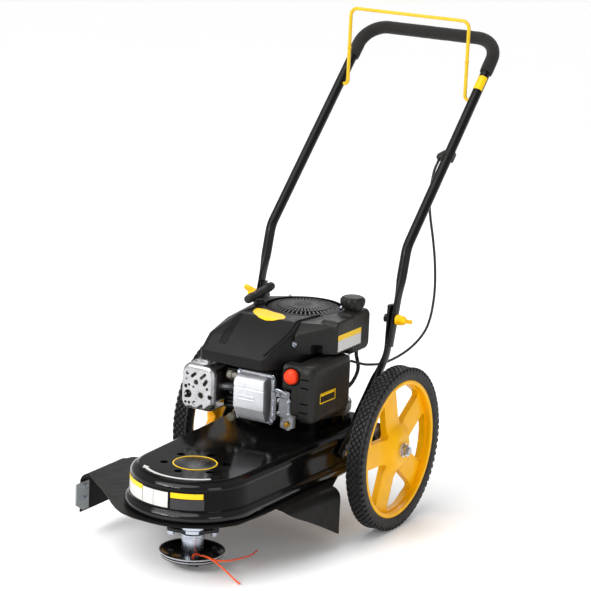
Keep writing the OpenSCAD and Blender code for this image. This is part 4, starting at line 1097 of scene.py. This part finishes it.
# recoil cover: dome rim, fine fins and a hub plate
def starter():
    g = G()
    g.add(lathe([(84, 206), (84, 209), (82.4, 213), (79.6, 216.2), (75.5, 218.6), (72, 219.6), (71.6, 217), (75, 215.6), (78.4, 213), (80.4, 209.6), (80.6, 206)], 96), 0, EM)
    g.add(lathe([(0, 226), (18, 226), (22, 225.6), (24.6, 224.8), (25.4, 223), (24.8, 221.4), (21, 222.8), (0, 223)], 72), 0, EM)
    g.add(lathe([(39.2, 219.6), (41.2, 219.6), (41.2, 224.7), (40.2, 225.1), (39.2, 224.9)], 72), 0, EM)
    g.add(lathe([(0, 190), (7.9, 190), (7.9, 223.6), (0, 223.6)], 28), 0, EM)
    g.add(lathe([(56.2, 219.2), (58.6, 219.2), (58.6, 223.4), (58, 224.0), (56.8, 224.2), (56.2, 223.8)], 72), 0, EM)
    n = 44
    for i in range(n):
        B = EM @ Matrix.Rotation(2 * pi * i / n, 4, 'Z')
        w = 1.15
        prof = [(23.5, 219.9), (23.5, 224.8), (32, 224.8), (40, 224.6), (48, 224.2), (56, 223.4), (64, 221.8), (70, 220.2), (74.5, 218.4), (74.5, 215.0), (66, 217.4), (56, 219.0), (47, 219.6)]
        v = [(r, -w, z) for r, z in prof] + [(r, w, z) for r, z in prof]
        k = len(prof)
        f = [tuple(range(k)), tuple(range(2 * k - 1, k - 1, -1))] + [(j, (j + 1) % k, k + (j + 1) % k, k + j) for j in range(k)]
        g.add((v, f), 1, B)
    piece("recoil_grille", g, ['shroud_black', 'fin_grey'], 'chassis', ["starter_cover"], smooth=35)
    # plain round badge plate, bare
    g = G()
    g.add(lathe([(0, 225.6), (16.4, 225.6), (16.4, 226.1), (15.6, 226.5), (13, 226.1), (0, 226.1)], 64), 0, EM)
    piece("recoil_plate", g, 'shroud_dark', 'chassis', smooth=30)
starter()

# pull grip: a T bar with a rounded waist
def grip():
    g = G()
    B = T(-92, 381, 484, rx=7)
    rings = []
    for y, r in ((-52, 5.2), (-51.4, 6.6), (-49.5, 7.6), (-46, 8.1), (-36, 8.2), (-24, 7.9), (-14, 7.9), (0, 8.3), (14, 7.9), (24, 7.9), (36, 8.2), (46, 8.1), (49.5, 7.6), (51.4, 6.6), (52, 5.2)):
        rings.append([(1.18 * r * cos(2 * pi * k / 24), y, 1.12 * r * sin(2 * pi * k / 24)) for k in range(24)])
    g.add(loft(rings), 0, B)
    for y in (-34, -29, 29, 34, 39, -39):
        g.add(lathe([(8.8, -0.8), (9.9, -0.5), (9.9, 0.5), (8.8, 0.8)], 24, T(0, y, 0, rx=90)), 0, B)
    rings = [[(x, y, z) for x, y in rr(a, b, 5.5, 6)] for z, a, b in ((-10, 12, 26), (-9.2, 14.4, 30), (-7, 15.4, 33), (-3, 16, 36), (0, 15.4, 35))]
    g.add(loft(rings), 0, B)
    g.add(lathe([(0, 472), (6.4, 472), (7, 472.8), (6.6, 477), (5.8, 480), (0, 480)], 28), 0, T(-92, 381, 0))
    piece("pull_grip", g, 'grip_rubber', 'pull', ["starter_grip"], smooth=45)
grip()

# valve cover: flange and a creased, tapering cap
def valve_cover():
    g = G()
    g.add(rbox((-44, -188, 8), (44, -180.02, 114), 10, 1.6, 'Y'), 0, EM)
    rows = [(13, -196, 6), (14.2, -200, 3.6), (17, -204, 2.2), (24, -208.6, 1.2), (33, -213.2, 0.6), (39.4, -216.6, 0.3), (41.4, -217.6, 0), (43.4, -217.9, 0), (60, -218.2, 0), (76, -218.5, 0), (82.4, -218.6, 0),
            (83.4, -217.4, 0), (84.4, -216.9, 0), (85.4, -217.4, 0), (86.4, -218.8, 0), (95, -218.9, 0.3), (101, -217.6, 0.9), (105, -214.6, 2.0), (108, -210, 3.6), (109.7, -203, 5.6), (110, -196, 7)]
    rings = []
    for z, y, ins in rows:
        x0, x1 = -40 + ins, 38 - ins
        d = -188.5 - y
        r = min(9.0, d * 0.45)
        p = [(x1, -188.5), (x1, y + r)] + [(x1 - r + r * cos(radians(-90 * i / 6)), y + r + r * sin(radians(-90 * i / 6))) for i in range(1, 6)] + [(x1 - r, y)]
        p += [(x1 - r + (x0 + r - x1 + r) * t, y) for t in (0.25, 0.5, 0.75)]
        p += [(x0 + r, y)] + [(x0 + r - r * sin(radians(90 * i / 6)), y + r - r * cos(radians(90 * i / 6))) for i in range(1, 6)] + [(x0, y + r), (x0, -188.5)]
        rings.append([(x, yy, z) for x, yy in p])
    g.add(loft(rings), 0, EM)
    # plain raised bars on the front face
    for z0, xa, xb in ((66, -24, 14), (58, -24, 14)):
        g.add(rbox((xa, -219.4, z0), (xb, -217.6, z0 + 3.4), 1.6, 0.6, 'Y'), 0, EM)
    o = piece("valve_cover", g, ['cast_alloy', 'cast_painted_shade'], 'chassis', ["rocker_cover"], smooth=34)
    # the cap's flanks get a darker copy of the alloy: painted shade on the sides turned from the light
    for f in o.data.polygons:
        if abs(f.normal.x) > 0.62 and f.center.y < (415 - 189.5) * K:
            f.material_index = 1
    g = G()
    for x in (-40.2, 40.2):
        for z in (12, 110):
            bolt(g, EM @ Vector((x * 0.985, -188, z * 1.0 if z > 50 else z + 0.4)), (0, -1, 0), 3.8, 3.4, 0.8, 0, 5)
    piece("valve_cover_bolts", g, 'zinc', 'chassis', smooth=30)
valve_cover()

# pierced heat shield
def shield():
    def ring(ins, y, r):
        return [(-124 + x, y, 65 + z) for x, z in rr(84 - 2 * ins, 102 - 2 * ins, max(4, r - ins), 8)]
    outer = [ring(0, -140, 22), ring(0, -160, 22), ring(0, -190, 22), ring(0.2, -206, 22), ring(1.0, -212, 22), ring(2.6, -217, 22), ring(5.0, -220.4, 22), ring(8, -221.8, 22), ring(11, -222, 22)]
    inner = [ring(11.4, -220, 22), ring(8.4, -219.8, 22), ring(6, -218.6, 22), ring(4.0, -215.8, 22), ring(2.8, -211.4, 22), ring(2.1, -206, 22), ring(2, -190, 22), ring(2, -160, 22), ring(2, -140, 22)]
    n = len(outer[0])
    rings = outer + inner
    v, f = loft(rings, False, False)
    f = [q for q in f if not (len(outer) - 1) * n <= min(q) < len(outer) * n or max(q) < len(outer) * n]
    k = len(outer)
    f.append(tuple((k - 1) * n + j for j in range(n)))
    f.append(tuple(k * n + j for j in reversed(range(n))))
    m = len(rings)
    for j in range(n):
        f.append((j, (j + 1) % n, (m - 1) * n + (j + 1) % n, (m - 1) * n + j))
    o = bare("heat_shield", G().add((v, f), 0, EM), ['shield_steel'])
    cut = G()
    def slot_cut(x, z, r, ln, ang, y0=-228, y1=-212):
        a = radians(ang)
        pts = []
        h = ln / 2
        for s, st in ((1, ang - 90), (-1, ang + 90)):
            for i in range(9):
                t = radians(st + 180 * i / 8)
                pts.append((x + s * h * cos(a) + r * cos(t), z + s * h * sin(a) + r * sin(t)))
        cut.add(loft([[(px, y0, pz) for px, pz in pts], [(px, y1, pz) for px, pz in pts]]), 0, EM)
    for x, z, r in ((-149, 94, 3.0), (-151, 81, 2.3), (-127, 77, 4.4), (-158, 65, 4.2), (-144, 69, 2.2), (-133, 66, 2.2), (-146, 49, 7.0), (-158, 42, 3.0), (-114.4, 50, 6.0), (-92.5, 49.5, 4.0), (-99, 66, 2.6),
                    (-156, 30, 3.2), (-143, 30, 2.7), (-130, 31, 3.4)):
        slot_cut(max(x, -152), z, r * (1.3 if x > -150 else 1.0), 0.02, 0)
    for x, z, r, ln, a in ((-133.5, 92, 2.6, 10, 40), (-110, 92, 2.4, 13, 42), (-104, 79, 3.0, 9, 58), (-141, 21, 2.4, 7, 0), (-116, 24, 2.8, 11, 38), (-95, 27, 2.6, 10, 38)):
        slot_cut(x, z, r * 1.35, ln, a)
    carve(o, cut)
    # holes in the outer side and in the top
    cut = G()
    for i in range(4):
        for j in range(4):
            y = -204 + 15 * j + (7 if i % 2 else 0)
            cut.add(lathe([(0, -6), (3.2, -6), (3.2, 6), (0, 6)], 16, T(-166, y, 42 + 15.5 * i) @ ALONG_X), 0, EM)
    for i in range(3):
        for j in range(4):
            cut.add(lathe([(0, -6), (3.2, -6), (3.2, 6), (0, 6)], 16, T(-144 + 18 * i, -196 + 15 * j + (7 if i % 2 else 0), 116)), 0, EM)
    carve(o, cut)
    # open towards the cylinder, with a lip left at the front and along the top
    carve(o, G().add(rbox((-97, -211, 22), (-70, -130, 108), 6, 1, 'X'), 0, EM))
    soften(o, 34)
    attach(o, 'chassis')
    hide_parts("muffler_shield")
    # rolled collar round the outlet, and a tab on the top
    g = G()
    g.add(lathe([(6.2, -1.5), (12.6, -1.5), (13.4, -0.2), (12.8, 0.8), (10.6, 1.0), (9.6, 0.0), (8.2, 0.2), (7.4, 1.2), (6.2, 0.8)], 36, T(-114.4, -221.2, 50, rx=90)), 0, EM)
    g.add(rbox((-134, -196, 115.2), (-112, -176, 118.6), 5, 1.0, 'Z'), 0, EM)
    piece("shield_collar", g, 'shield_steel', 'chassis', smooth=40)
    g = G()
    bolt(g, EM @ Vector((-123, -186, 118.4)), (0, 0, 1), 5, 3.6, 0.8, 0, 6.6)
    piece("shield_bolts", g, 'zinc', 'chassis', smooth=30)
shield()

# air filter cover: a deep rounded lid with slits in its front edge
def filter_cover():
    def ring(x, ins, r=17):
        return [(x, -130 + a, 91 + b) for a, b in rr(168 - 2 * ins, 122 - 2 * ins, max(3, r - ins * 0.6), 8)]
    rings = [ring(120, 1.2), ring(120.6, 0.3), ring(121.4, 0), ring(130, 0), ring(137, 0.2), ring(141.5, 1.2), ring(145, 3.0), ring(147.6, 5.6), ring(149.2, 9), ring(149.9, 13), ring(150, 17)]
    o = bare("filter_lid", G().add(loft(rings), 0, EM), ['shroud_black'])
    cut = G()
    for z in (54, 73, 107, 125):
        cut.add(rbox((121.6, -217, z), (141.0, -206, z + 3.2), 1.2, 0.4, 'Y'), 0, EM)
    carve(o, cut)
    soften(o, 34)
    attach(o, 'chassis')
    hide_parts("air_filter_cover")
    # plain outlined panel on the lid
    g = G()
    fr = []
    for w, l in ((64, 22), (60.4, 18.4)):
        fr.append([(a, b) for a, b in rr(w, l, 1.2, 2)])
    v, f = plate(fr[0], [fr[1]], 149.4, 150.45)
    B = EM @ T(0, -147, 80.5) @ Matrix.Rotation(radians(-1), 4, 'X') @ ALONG_X
    g.add((v, f), 0, B)
    g.add(plate(rr(56, 3.0, 0.8, 2), [], 149.4, 150.45), 0, B @ T(0, 6.6, 0))
    piece("filter_panel", g, 'decal_yellow', 'chassis', smooth=30)
filter_cover()

# fuel tank: two moulded bodies with a seam, a filler neck and a plain two-colour patch
def tank():
    g = G()
    g.add(rbox((97, -100, 157), (139.7, -20, 226), 13, 4.5, 'X', 8, 5), 0, EM)
    g.add(rbox((97, -42, 142), (140, 46, 231.6), 17, 10, 'X', 8, 5), 0, EM)
    g.add(lathe([(0, 230), (16.9, 230), (16.9, 233), (16.2, 234), (16.9, 235), (16.9, 242.6), (16.4, 243), (0, 243)], 40), 0, EM @ T(116, 4, 0))
    # moulding seam
    g.add(rbox((117.4, -42.7, 141.3), (119.6, 46.7, 232.0), 17.6, 0.6, 'X', 8, 2), 0, EM)
    piece("tank_body", g, 'shroud_black', 'chassis', ["fuel_tank"], smooth=40)
    g = G()
    B = EM @ T(0, -46, 0) @ ALONG_X
    g.add(plate(rr(97, 11.5, 1.2, 3), [], 139.4, 140.45), 1, B @ T(0, 191.4, 0))
    g.add(plate(rr(97, 23.4, 1.2, 3), [], 139.4, 140.45), 0, B @ T(0, 173.6, 0))
    piece("tank_patch", g, ['decal_white', 'decal_yellow'], 'chassis', smooth=30)
    pts = []
    for x, y, z1, r in ((70, -146, 200, 6), (66, -118, 219, 6), (134.2, -95.6, 206, 4.6), (133, -86, 218, 6), (132.6, -30, 223, 6), (84, -30, 221, 6)):
        for i in range(20):
            a = 2 * pi * i / 20
            pts.append((x + r * cos(a), 415 + y + r * sin(a), 243 + 158))
            for b in range(4):
                t = pi / 2 * b / 3
                q = r - 4 + 4 * cos(t)
                pts.append((x + q * cos(a), 415 + y + q * sin(a), 243 + z1 - 4 + 4 * sin(t)))
    o = hull_mesh("tank_shoulder", pts, ['shroud_black'])
    carve(o, G().add(rbox((96, -142, 150), (116, -104, 178), 4, 1.0, 'Y'), 0, EM))
    soften(o, 30)
    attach(o, 'chassis')
    # ribbed cap
    n = 108
    def ring(z, r, rib):
        out = []
        for i in range(n):
            a = 2 * pi * i / n
            k = max(0, min(1, 0.62 + 1.5 * cos(9 * a)))
            out.append(((r + rib * k) * cos(a), (r + rib * k) * sin(a), z))
        return out
    rings = [ring(234.2, 20.4, 0.4), ring(235, 21.4, 0.8), ring(238, 22.6, 1.6), ring(242, 23.6, 2.4), ring(247, 24, 3.0), ring(251, 24, 3.0), ring(254, 23.8, 2.6), ring(256.6, 23, 1.6), ring(258.4, 21.6, 0.6), ring(259.5, 19.6, 0), ring(260, 16.5, 0), ring(259.6, 14.8, 0), ring(259.2, 12, 0)]
    g = G()
    g.add(loft(rings), 0, EM @ T(116, 4, 0))
    cut = G().add(lathe([(0, 230), (17.06, 230), (17.06, 245), (0, 245)], 40), 0, EM @ T(116, 4, 0))
    piece("tank_cap_ribbed", g, 'shroud_black', 'tank_cap', ["fuel_cap"], smooth=40, cut=cut)
tank()

# carrier of the spindle: a bright sleeve in a dark two-bolt flange
def spindle():
    g = G()
    g.add(lathe([(24, 72), (26.6, 72), (27.5, 72.9), (27.5, 79.6), (27.0, 80.2), (27.5, 80.8), (27.5, 147.4), (27, 148), (24, 148)], 64), 0)
    a = radians(30)
    e = Vector((cos(a), sin(a), 0))
    side = Vector((-sin(a), cos(a), 0))
    tilt = math.acos((27.4 - 9) / 44)
    out = []
    for sgn in (1, -1):
        out += [e * (sgn * (44 + 9 * cos(t))) + side * (sgn * 9 * sin(t)) for t in [-tilt + 2 * tilt * i / 14 for i in range(15)]]
        out += [e * (sgn * 27.4 * cos(t)) + side * (sgn * 27.4 * sin(t)) for t in [tilt + (pi - 2 * tilt) * i / 8 for i in range(9)]]
    holes = [circle(0, 0, 24.2, 48)] + [circle(44 * s_ * cos(a), 44 * s_ * sin(a), 4.0, 20) for s_ in (1, -1)]
    g.add(plate([(p.x, p.y) for p in out], holes, 72.4, 79), 1)
    for s_ in (1, -1):
        g.add(lathe([(4.0, 78.4), (8, 78.4), (7.6, 100), (8.2, 123), (9.4, 126), (4.0, 126)], 28), 1, T(44 * s_ * cos(a), 44 * s_ * sin(a), 0))
    g.add(lathe([(26, 123.5), (55, 123.5), (56, 124.5), (56, 131.5), (26, 131.5)], 72), 1)
    piece("spindle_carrier", g, ['zinc', 'alloy_black'], 'chassis', ["spindle_housing"], smooth=35)
    # dished saucers; the light grey on their rolled rims is a painted highlight
    g = G()
    g.add(lathe([(22.5, 22.6), (30, 23.4), (40, 25.6), (50, 28.9), (58, 32.4), (63.4, 35.2), (66.2, 36.7), (67.2, 36.6), (67.2, 34.4), (65, 33.8), (58, 30.4), (50, 27.0), (40, 23.6), (30, 21.3), (22.5, 20.1)], 112), 0, T(0, 0, -5))
    g.add(lathe([(66.4, 36.4), (67, 37.4), (67.9, 37.8), (68.5, 37.0), (68.5, 35.6), (67.8, 34.8), (66.9, 34.9)], 112), 1, T(0, 0, -5))
    piece("saucer_upper", g, ['head_black', 'rim_line'], 'head', ["head_upper_saucer"], smooth=50)
    g = G()
    g.add(lathe([(22.5, 14.6), (32, 16.2), (42, 19.4), (52, 23.8), (60, 28.0), (64, 30.1), (65, 30), (65, 26.4), (60, 24.6), (52, 21.0), (42, 17.0), (32, 13.9), (22.5, 12.1)], 112), 0, T(0, 0, -5))
    g.add(lathe([(64.2, 29.6), (64.8, 30.6), (65.6, 30.7), (66, 30.0), (66, 29.0), (65.2, 28.4), (64.5, 28.8)], 112), 1, T(0, 0, -5))
    piece("saucer_lower", g, ['head_black', 'rim_line'], 'head', ["head_lower_saucer"], smooth=50)
spindle()

# small engine hardware that stands on the CAD pieces
def hardware():
    g = G()
    # throttle rod and spring by the carburettor
    g.add(tube(crom([EM @ Vector(p) for p in ((50, -203.2, 84), (58, -204.6, 92), (70, -204.4, 91), (84, -203.4, 84), (92, -202.6, 72))], 5), 1.1, 8))
    coil = []
    for i in range(73):
        a = i * 2 * pi / 9
        coil.append(EM @ Vector((52 + 3.2 * cos(a), -205 + 3.2 * sin(a), 30 + 0.55 * i)))
    g.add(tube(coil, 0.6, 6))
    piece("throttle_rods", g, 'zinc', 'chassis', smooth=60)
    g = G()
    for x, z in ((64, 68), (88, 68), (64, 40), (88, 40)):
        bolt(g, EM @ Vector((x, -200, z)), (0, -1, 0), 3, 2.6, 0.5, 0, 4)
    bolt(g, EM @ Vector((76, -180, 2)), (0, 0, -1), 4.4, 1.6, 0)
    piece("carb_screws", g, 'zinc', 'chassis', smooth=30)
    g = G()
    g.add(lathe([(0, 0), (5.4, 0), (6.2, 0.8), (6.2, 6), (5.2, 7.6), (3.4, 8), (3.2, 6.4), (0, 6.4)], 24, T(86, -196, 19, rx=90)), 0, EM)
    piece("bowl_drain", g, 'brass', 'chassis', smooth=35)
    # drain plug low on the left of the crankcase
    g = G()
    g.add(lathe([(0, 0), (8.6, 0), (9.4, 0.9), (9.4, 7), (8.4, 8.6), (5, 9.2), (0, 9.4)], 32, T(-54, -190, 8, rx=90)), 0, EM)
    g.add(rbox((-60, -191, 2), (-48, -176, 14), 3, 0.8, 'Y'), 0, EM)
    piece("side_plug", g, 'plug_olive', 'chassis', smooth=40)
    # baffle between the muffler and the cylinder, under the hood
    g = G()
    g.add(rbox((-100, -152, 12), (-52, -149.4, 131), 4, 0.8, 'Y'), 0, EM)
    piece("engine_baffle", g, 'shroud_dark', 'chassis', smooth=30)
    # exhaust elbow and its flange, between the muffler and the cylinder
    g = G()
    g.add(tube(crom([EM @ Vector(q) for q in ((-100, -178, 66), (-88, -178, 66), (-76, -174, 66), (-68, -165, 66), (-66, -153, 66))], 6), 8.2, 24))
    g.add(rbox((-84, -156.5, 46), (-50, -152.2, 86), 8, 1.0, 'Y'), 0, EM)
    for x, z in ((-78, 52), (-78, 80)):
        bolt(g, EM @ Vector((x, -156.3, z)), (0, -1, 0), 5, 4, 0.8, 0, 6.4)
    piece("exhaust_elbow", g, 'carb_alloy', 'chassis', smooth=40)
    g = G()
    for z in (22, 30, 38, 94, 102, 110, 118):
        g.add(rbox((-86, -166, z), (-52, -151, z + 2.4), 5, 0.7, 'Z'), 0, EM)
    piece("baffle_fins", g, 'fin_grey', 'chassis', smooth=30)
    # ribs, parting line and breather cover on the crankcase
    g = G()
    for k in range(13):
        B = EM @ Matrix.Rotation(radians(25 + 15 * k), 4, 'Z')
        g.add(rbox((84, -2, 13), (91.4, 2, 119 if k % 2 else 126), 1.6, 0.8, 'X'), 0, B)
    g.add(lathe([(86, 62), (89, 62), (89.9, 62.9), (89.9, 66.1), (89, 67), (86, 67)], 96), 0, EM)
    g.add(lathe([(86, 124), (89.6, 124), (90.4, 125), (90.4, 128), (89.6, 129), (86, 129)], 96), 0, EM)
    g.add(lathe([(0, 84), (26, 84), (26, 92.6), (24.8, 94), (21, 94.6), (19, 93.6), (0, 93.6)], 48, T(0, 0, 92) @ T(0, 0, 0, rx=-90)), 0, EM)
    piece("crankcase_ribs", g, 'alloy_black', 'chassis', smooth=35)
    g = G()
    for k in range(3):
        a = radians(90 + 120 * k)
        bolt(g, EM @ Vector((14 * cos(a), 93.4, 92 + 14 * sin(a))), (0, 1, 0), 3.6, 2.4, 0.5, 0, 4.6)
    for k in (35, 65, 125, 155, 185):
        a = radians(k)
        bolt(g, EM @ Vector((103 * cos(a), 103 * sin(a), 11.8)), (0, 0, 1), 4.6, 3.6, 0.6, 0, 6.2)
    piece("crankcase_bolts", g, 'zinc', 'chassis', smooth=30)
    # seat ring round the primer
    g = G()
    g.add(lathe([(16.5, -1.2), (20.4, -1.2), (20.4, 0.8), (19.6, 1.6), (17.4, 1.6), (16.5, 0.9)], 40, T(95.5, -204.2, 126, rx=90)), 0, EM)
    piece("primer_seat", g, 'shroud_dark', 'chassis', smooth=40)
    # hub: eyelet where the lines leave it
    g = G()
    B = Matrix.Rotation(radians(-36), 4, 'Z') @ T(22.7, 0, 24) @ ALONG_X @ Matrix.Diagonal((1.35, 1.0, 1.0, 1.0))
    g.add(lathe([(3.4, -2.2), (6.8, -2.2), (7.2, 0.2), (6.4, 1.6), (4.6, 1.7), (3.4, 0.4)], 32), 0, B)
    piece("line_eyelet", g, 'line_orange', 'head', smooth=45)
    # collar at the top of the hub, under the spindle
    g = G()
    g.add(lathe([(22.4, 60.5), (24.6, 60.5), (25.4, 61.3), (25.4, 64.4), (24.4, 65.0), (24.4, 66.2), (25.4, 66.8), (25.4, 69.0), (24.6, 69.8), (22.4, 69.9)], 56))
    piece("hub_collars", g, 'zinc', 'head', smooth=40)
hardware()

# ---------------------------------------------------------------- the rest of the CAD nodes: their own finish, softened edges
def finish_nodes():
    slots = {x['node']: x['material_slot'] for x in frame['record']['subparts']}
    other = {'head_bolts': 'alloy_black', 'handle_pivot_bolts': 'alloy_black', 'cylinder_block': 'alloy_black', 'carburettor': 'carb_alloy'}
    for nm, o in frame['nodes'].items():
        m = M[other.get(nm, slots[nm])]
        o.data.materials.clear()
        o.data.materials.append(m)
        if not o.hide_render:
            bevel(o, 0.6, 2, 40)
finish_nodes()

# ---------------------------------------------------------------- studio
def studio():
    w = bpy.data.worlds.new("studio")
    scene.world = w
    w.use_nodes = True
    bg = w.node_tree.nodes['Background']
    bg.inputs[1].default_value = 1.0
    # pale down to the horizon, softer overhead
    t = w.node_tree
    tc = t.nodes.new('ShaderNodeTexCoord')
    sp = t.nodes.new('ShaderNodeSeparateXYZ')
    cr = t.nodes.new('ShaderNodeValToRGB')
    cr.color_ramp.elements[0].position = 0.06
    cr.color_ramp.elements[0].color = (0.93, 0.93, 0.93, 1)
    cr.color_ramp.elements[1].position = 0.17
    cr.color_ramp.elements[1].color = (0.42, 0.42, 0.42, 1)
    t.links.new(tc.outputs['Generated'], sp.inputs[0])
    t.links.new(sp.outputs[2], cr.inputs[0])
    t.links.new(cr.outputs[0], bg.inputs[0])
    me = bpy.data.meshes.new("floor")
    s = 30
    me.from_pydata([(-s, -s, 0), (s, -s, 0), (s, s, 0), (-s, s, 0)], [], [(0, 1, 2, 3)])
    f = bpy.data.objects.new("floor", me)
    f.location = (0, 0, -0.0004)
    fm = mat('floor_pale', (250, 250, 250), 0.006, 2, 0.8, 0.03, bump=0.02, bscale=60, spec=0.2)
    pb = [x for x in fm.node_tree.nodes if x.type == 'BSDF_PRINCIPLED'][0]
    pb.inputs['Emission Color'].default_value = (1, 1, 1, 1)
    pb.inputs['Emission Strength'].default_value = 0.07
    me.materials.append(fm)
    scene.collection.objects.link(f)
    def area(name, loc, target, size, power, sy=None):
        l = bpy.data.lights.new(name, 'AREA')
        l.shape = 'RECTANGLE'
        l.size = size
        l.size_y = sy or size
        l.energy = power
        o = bpy.data.objects.new(name, l)
        o.location = loc
        d = Vector(target) - Vector(loc)
        o.rotation_euler = d.to_track_quat('-Z', 'Y').to_euler()
        scene.collection.objects.link(o)
    sun = bpy.data.lights.new("overhead", 'SUN')
    sun.energy = 1.9
    sun.angle = radians(55)
    o = bpy.data.objects.new("overhead", sun)
    o.rotation_euler = Vector((0.22, 0.42, -1)).to_track_quat('-Z', 'Y').to_euler()
    scene.collection.objects.link(o)
    area("key", (-1.6, -2.6, 2.4), (0, 0.3, 0.3), 1.6, 46)
    area("strip", (-0.5, -2.9, 1.9), (0, 0.2, 0.2), 1.7, 34, 0.08)
    area("right", (3.2, -1.2, 1.6), (0, 0.4, 0.4), 1.4, 18, 2.0)
    area("back", (-1.2, 3.0, 2.6), (0, 0.4, 0.5), 1.6, 30)
studio()
scene.view_settings.view_transform = 'Standard'
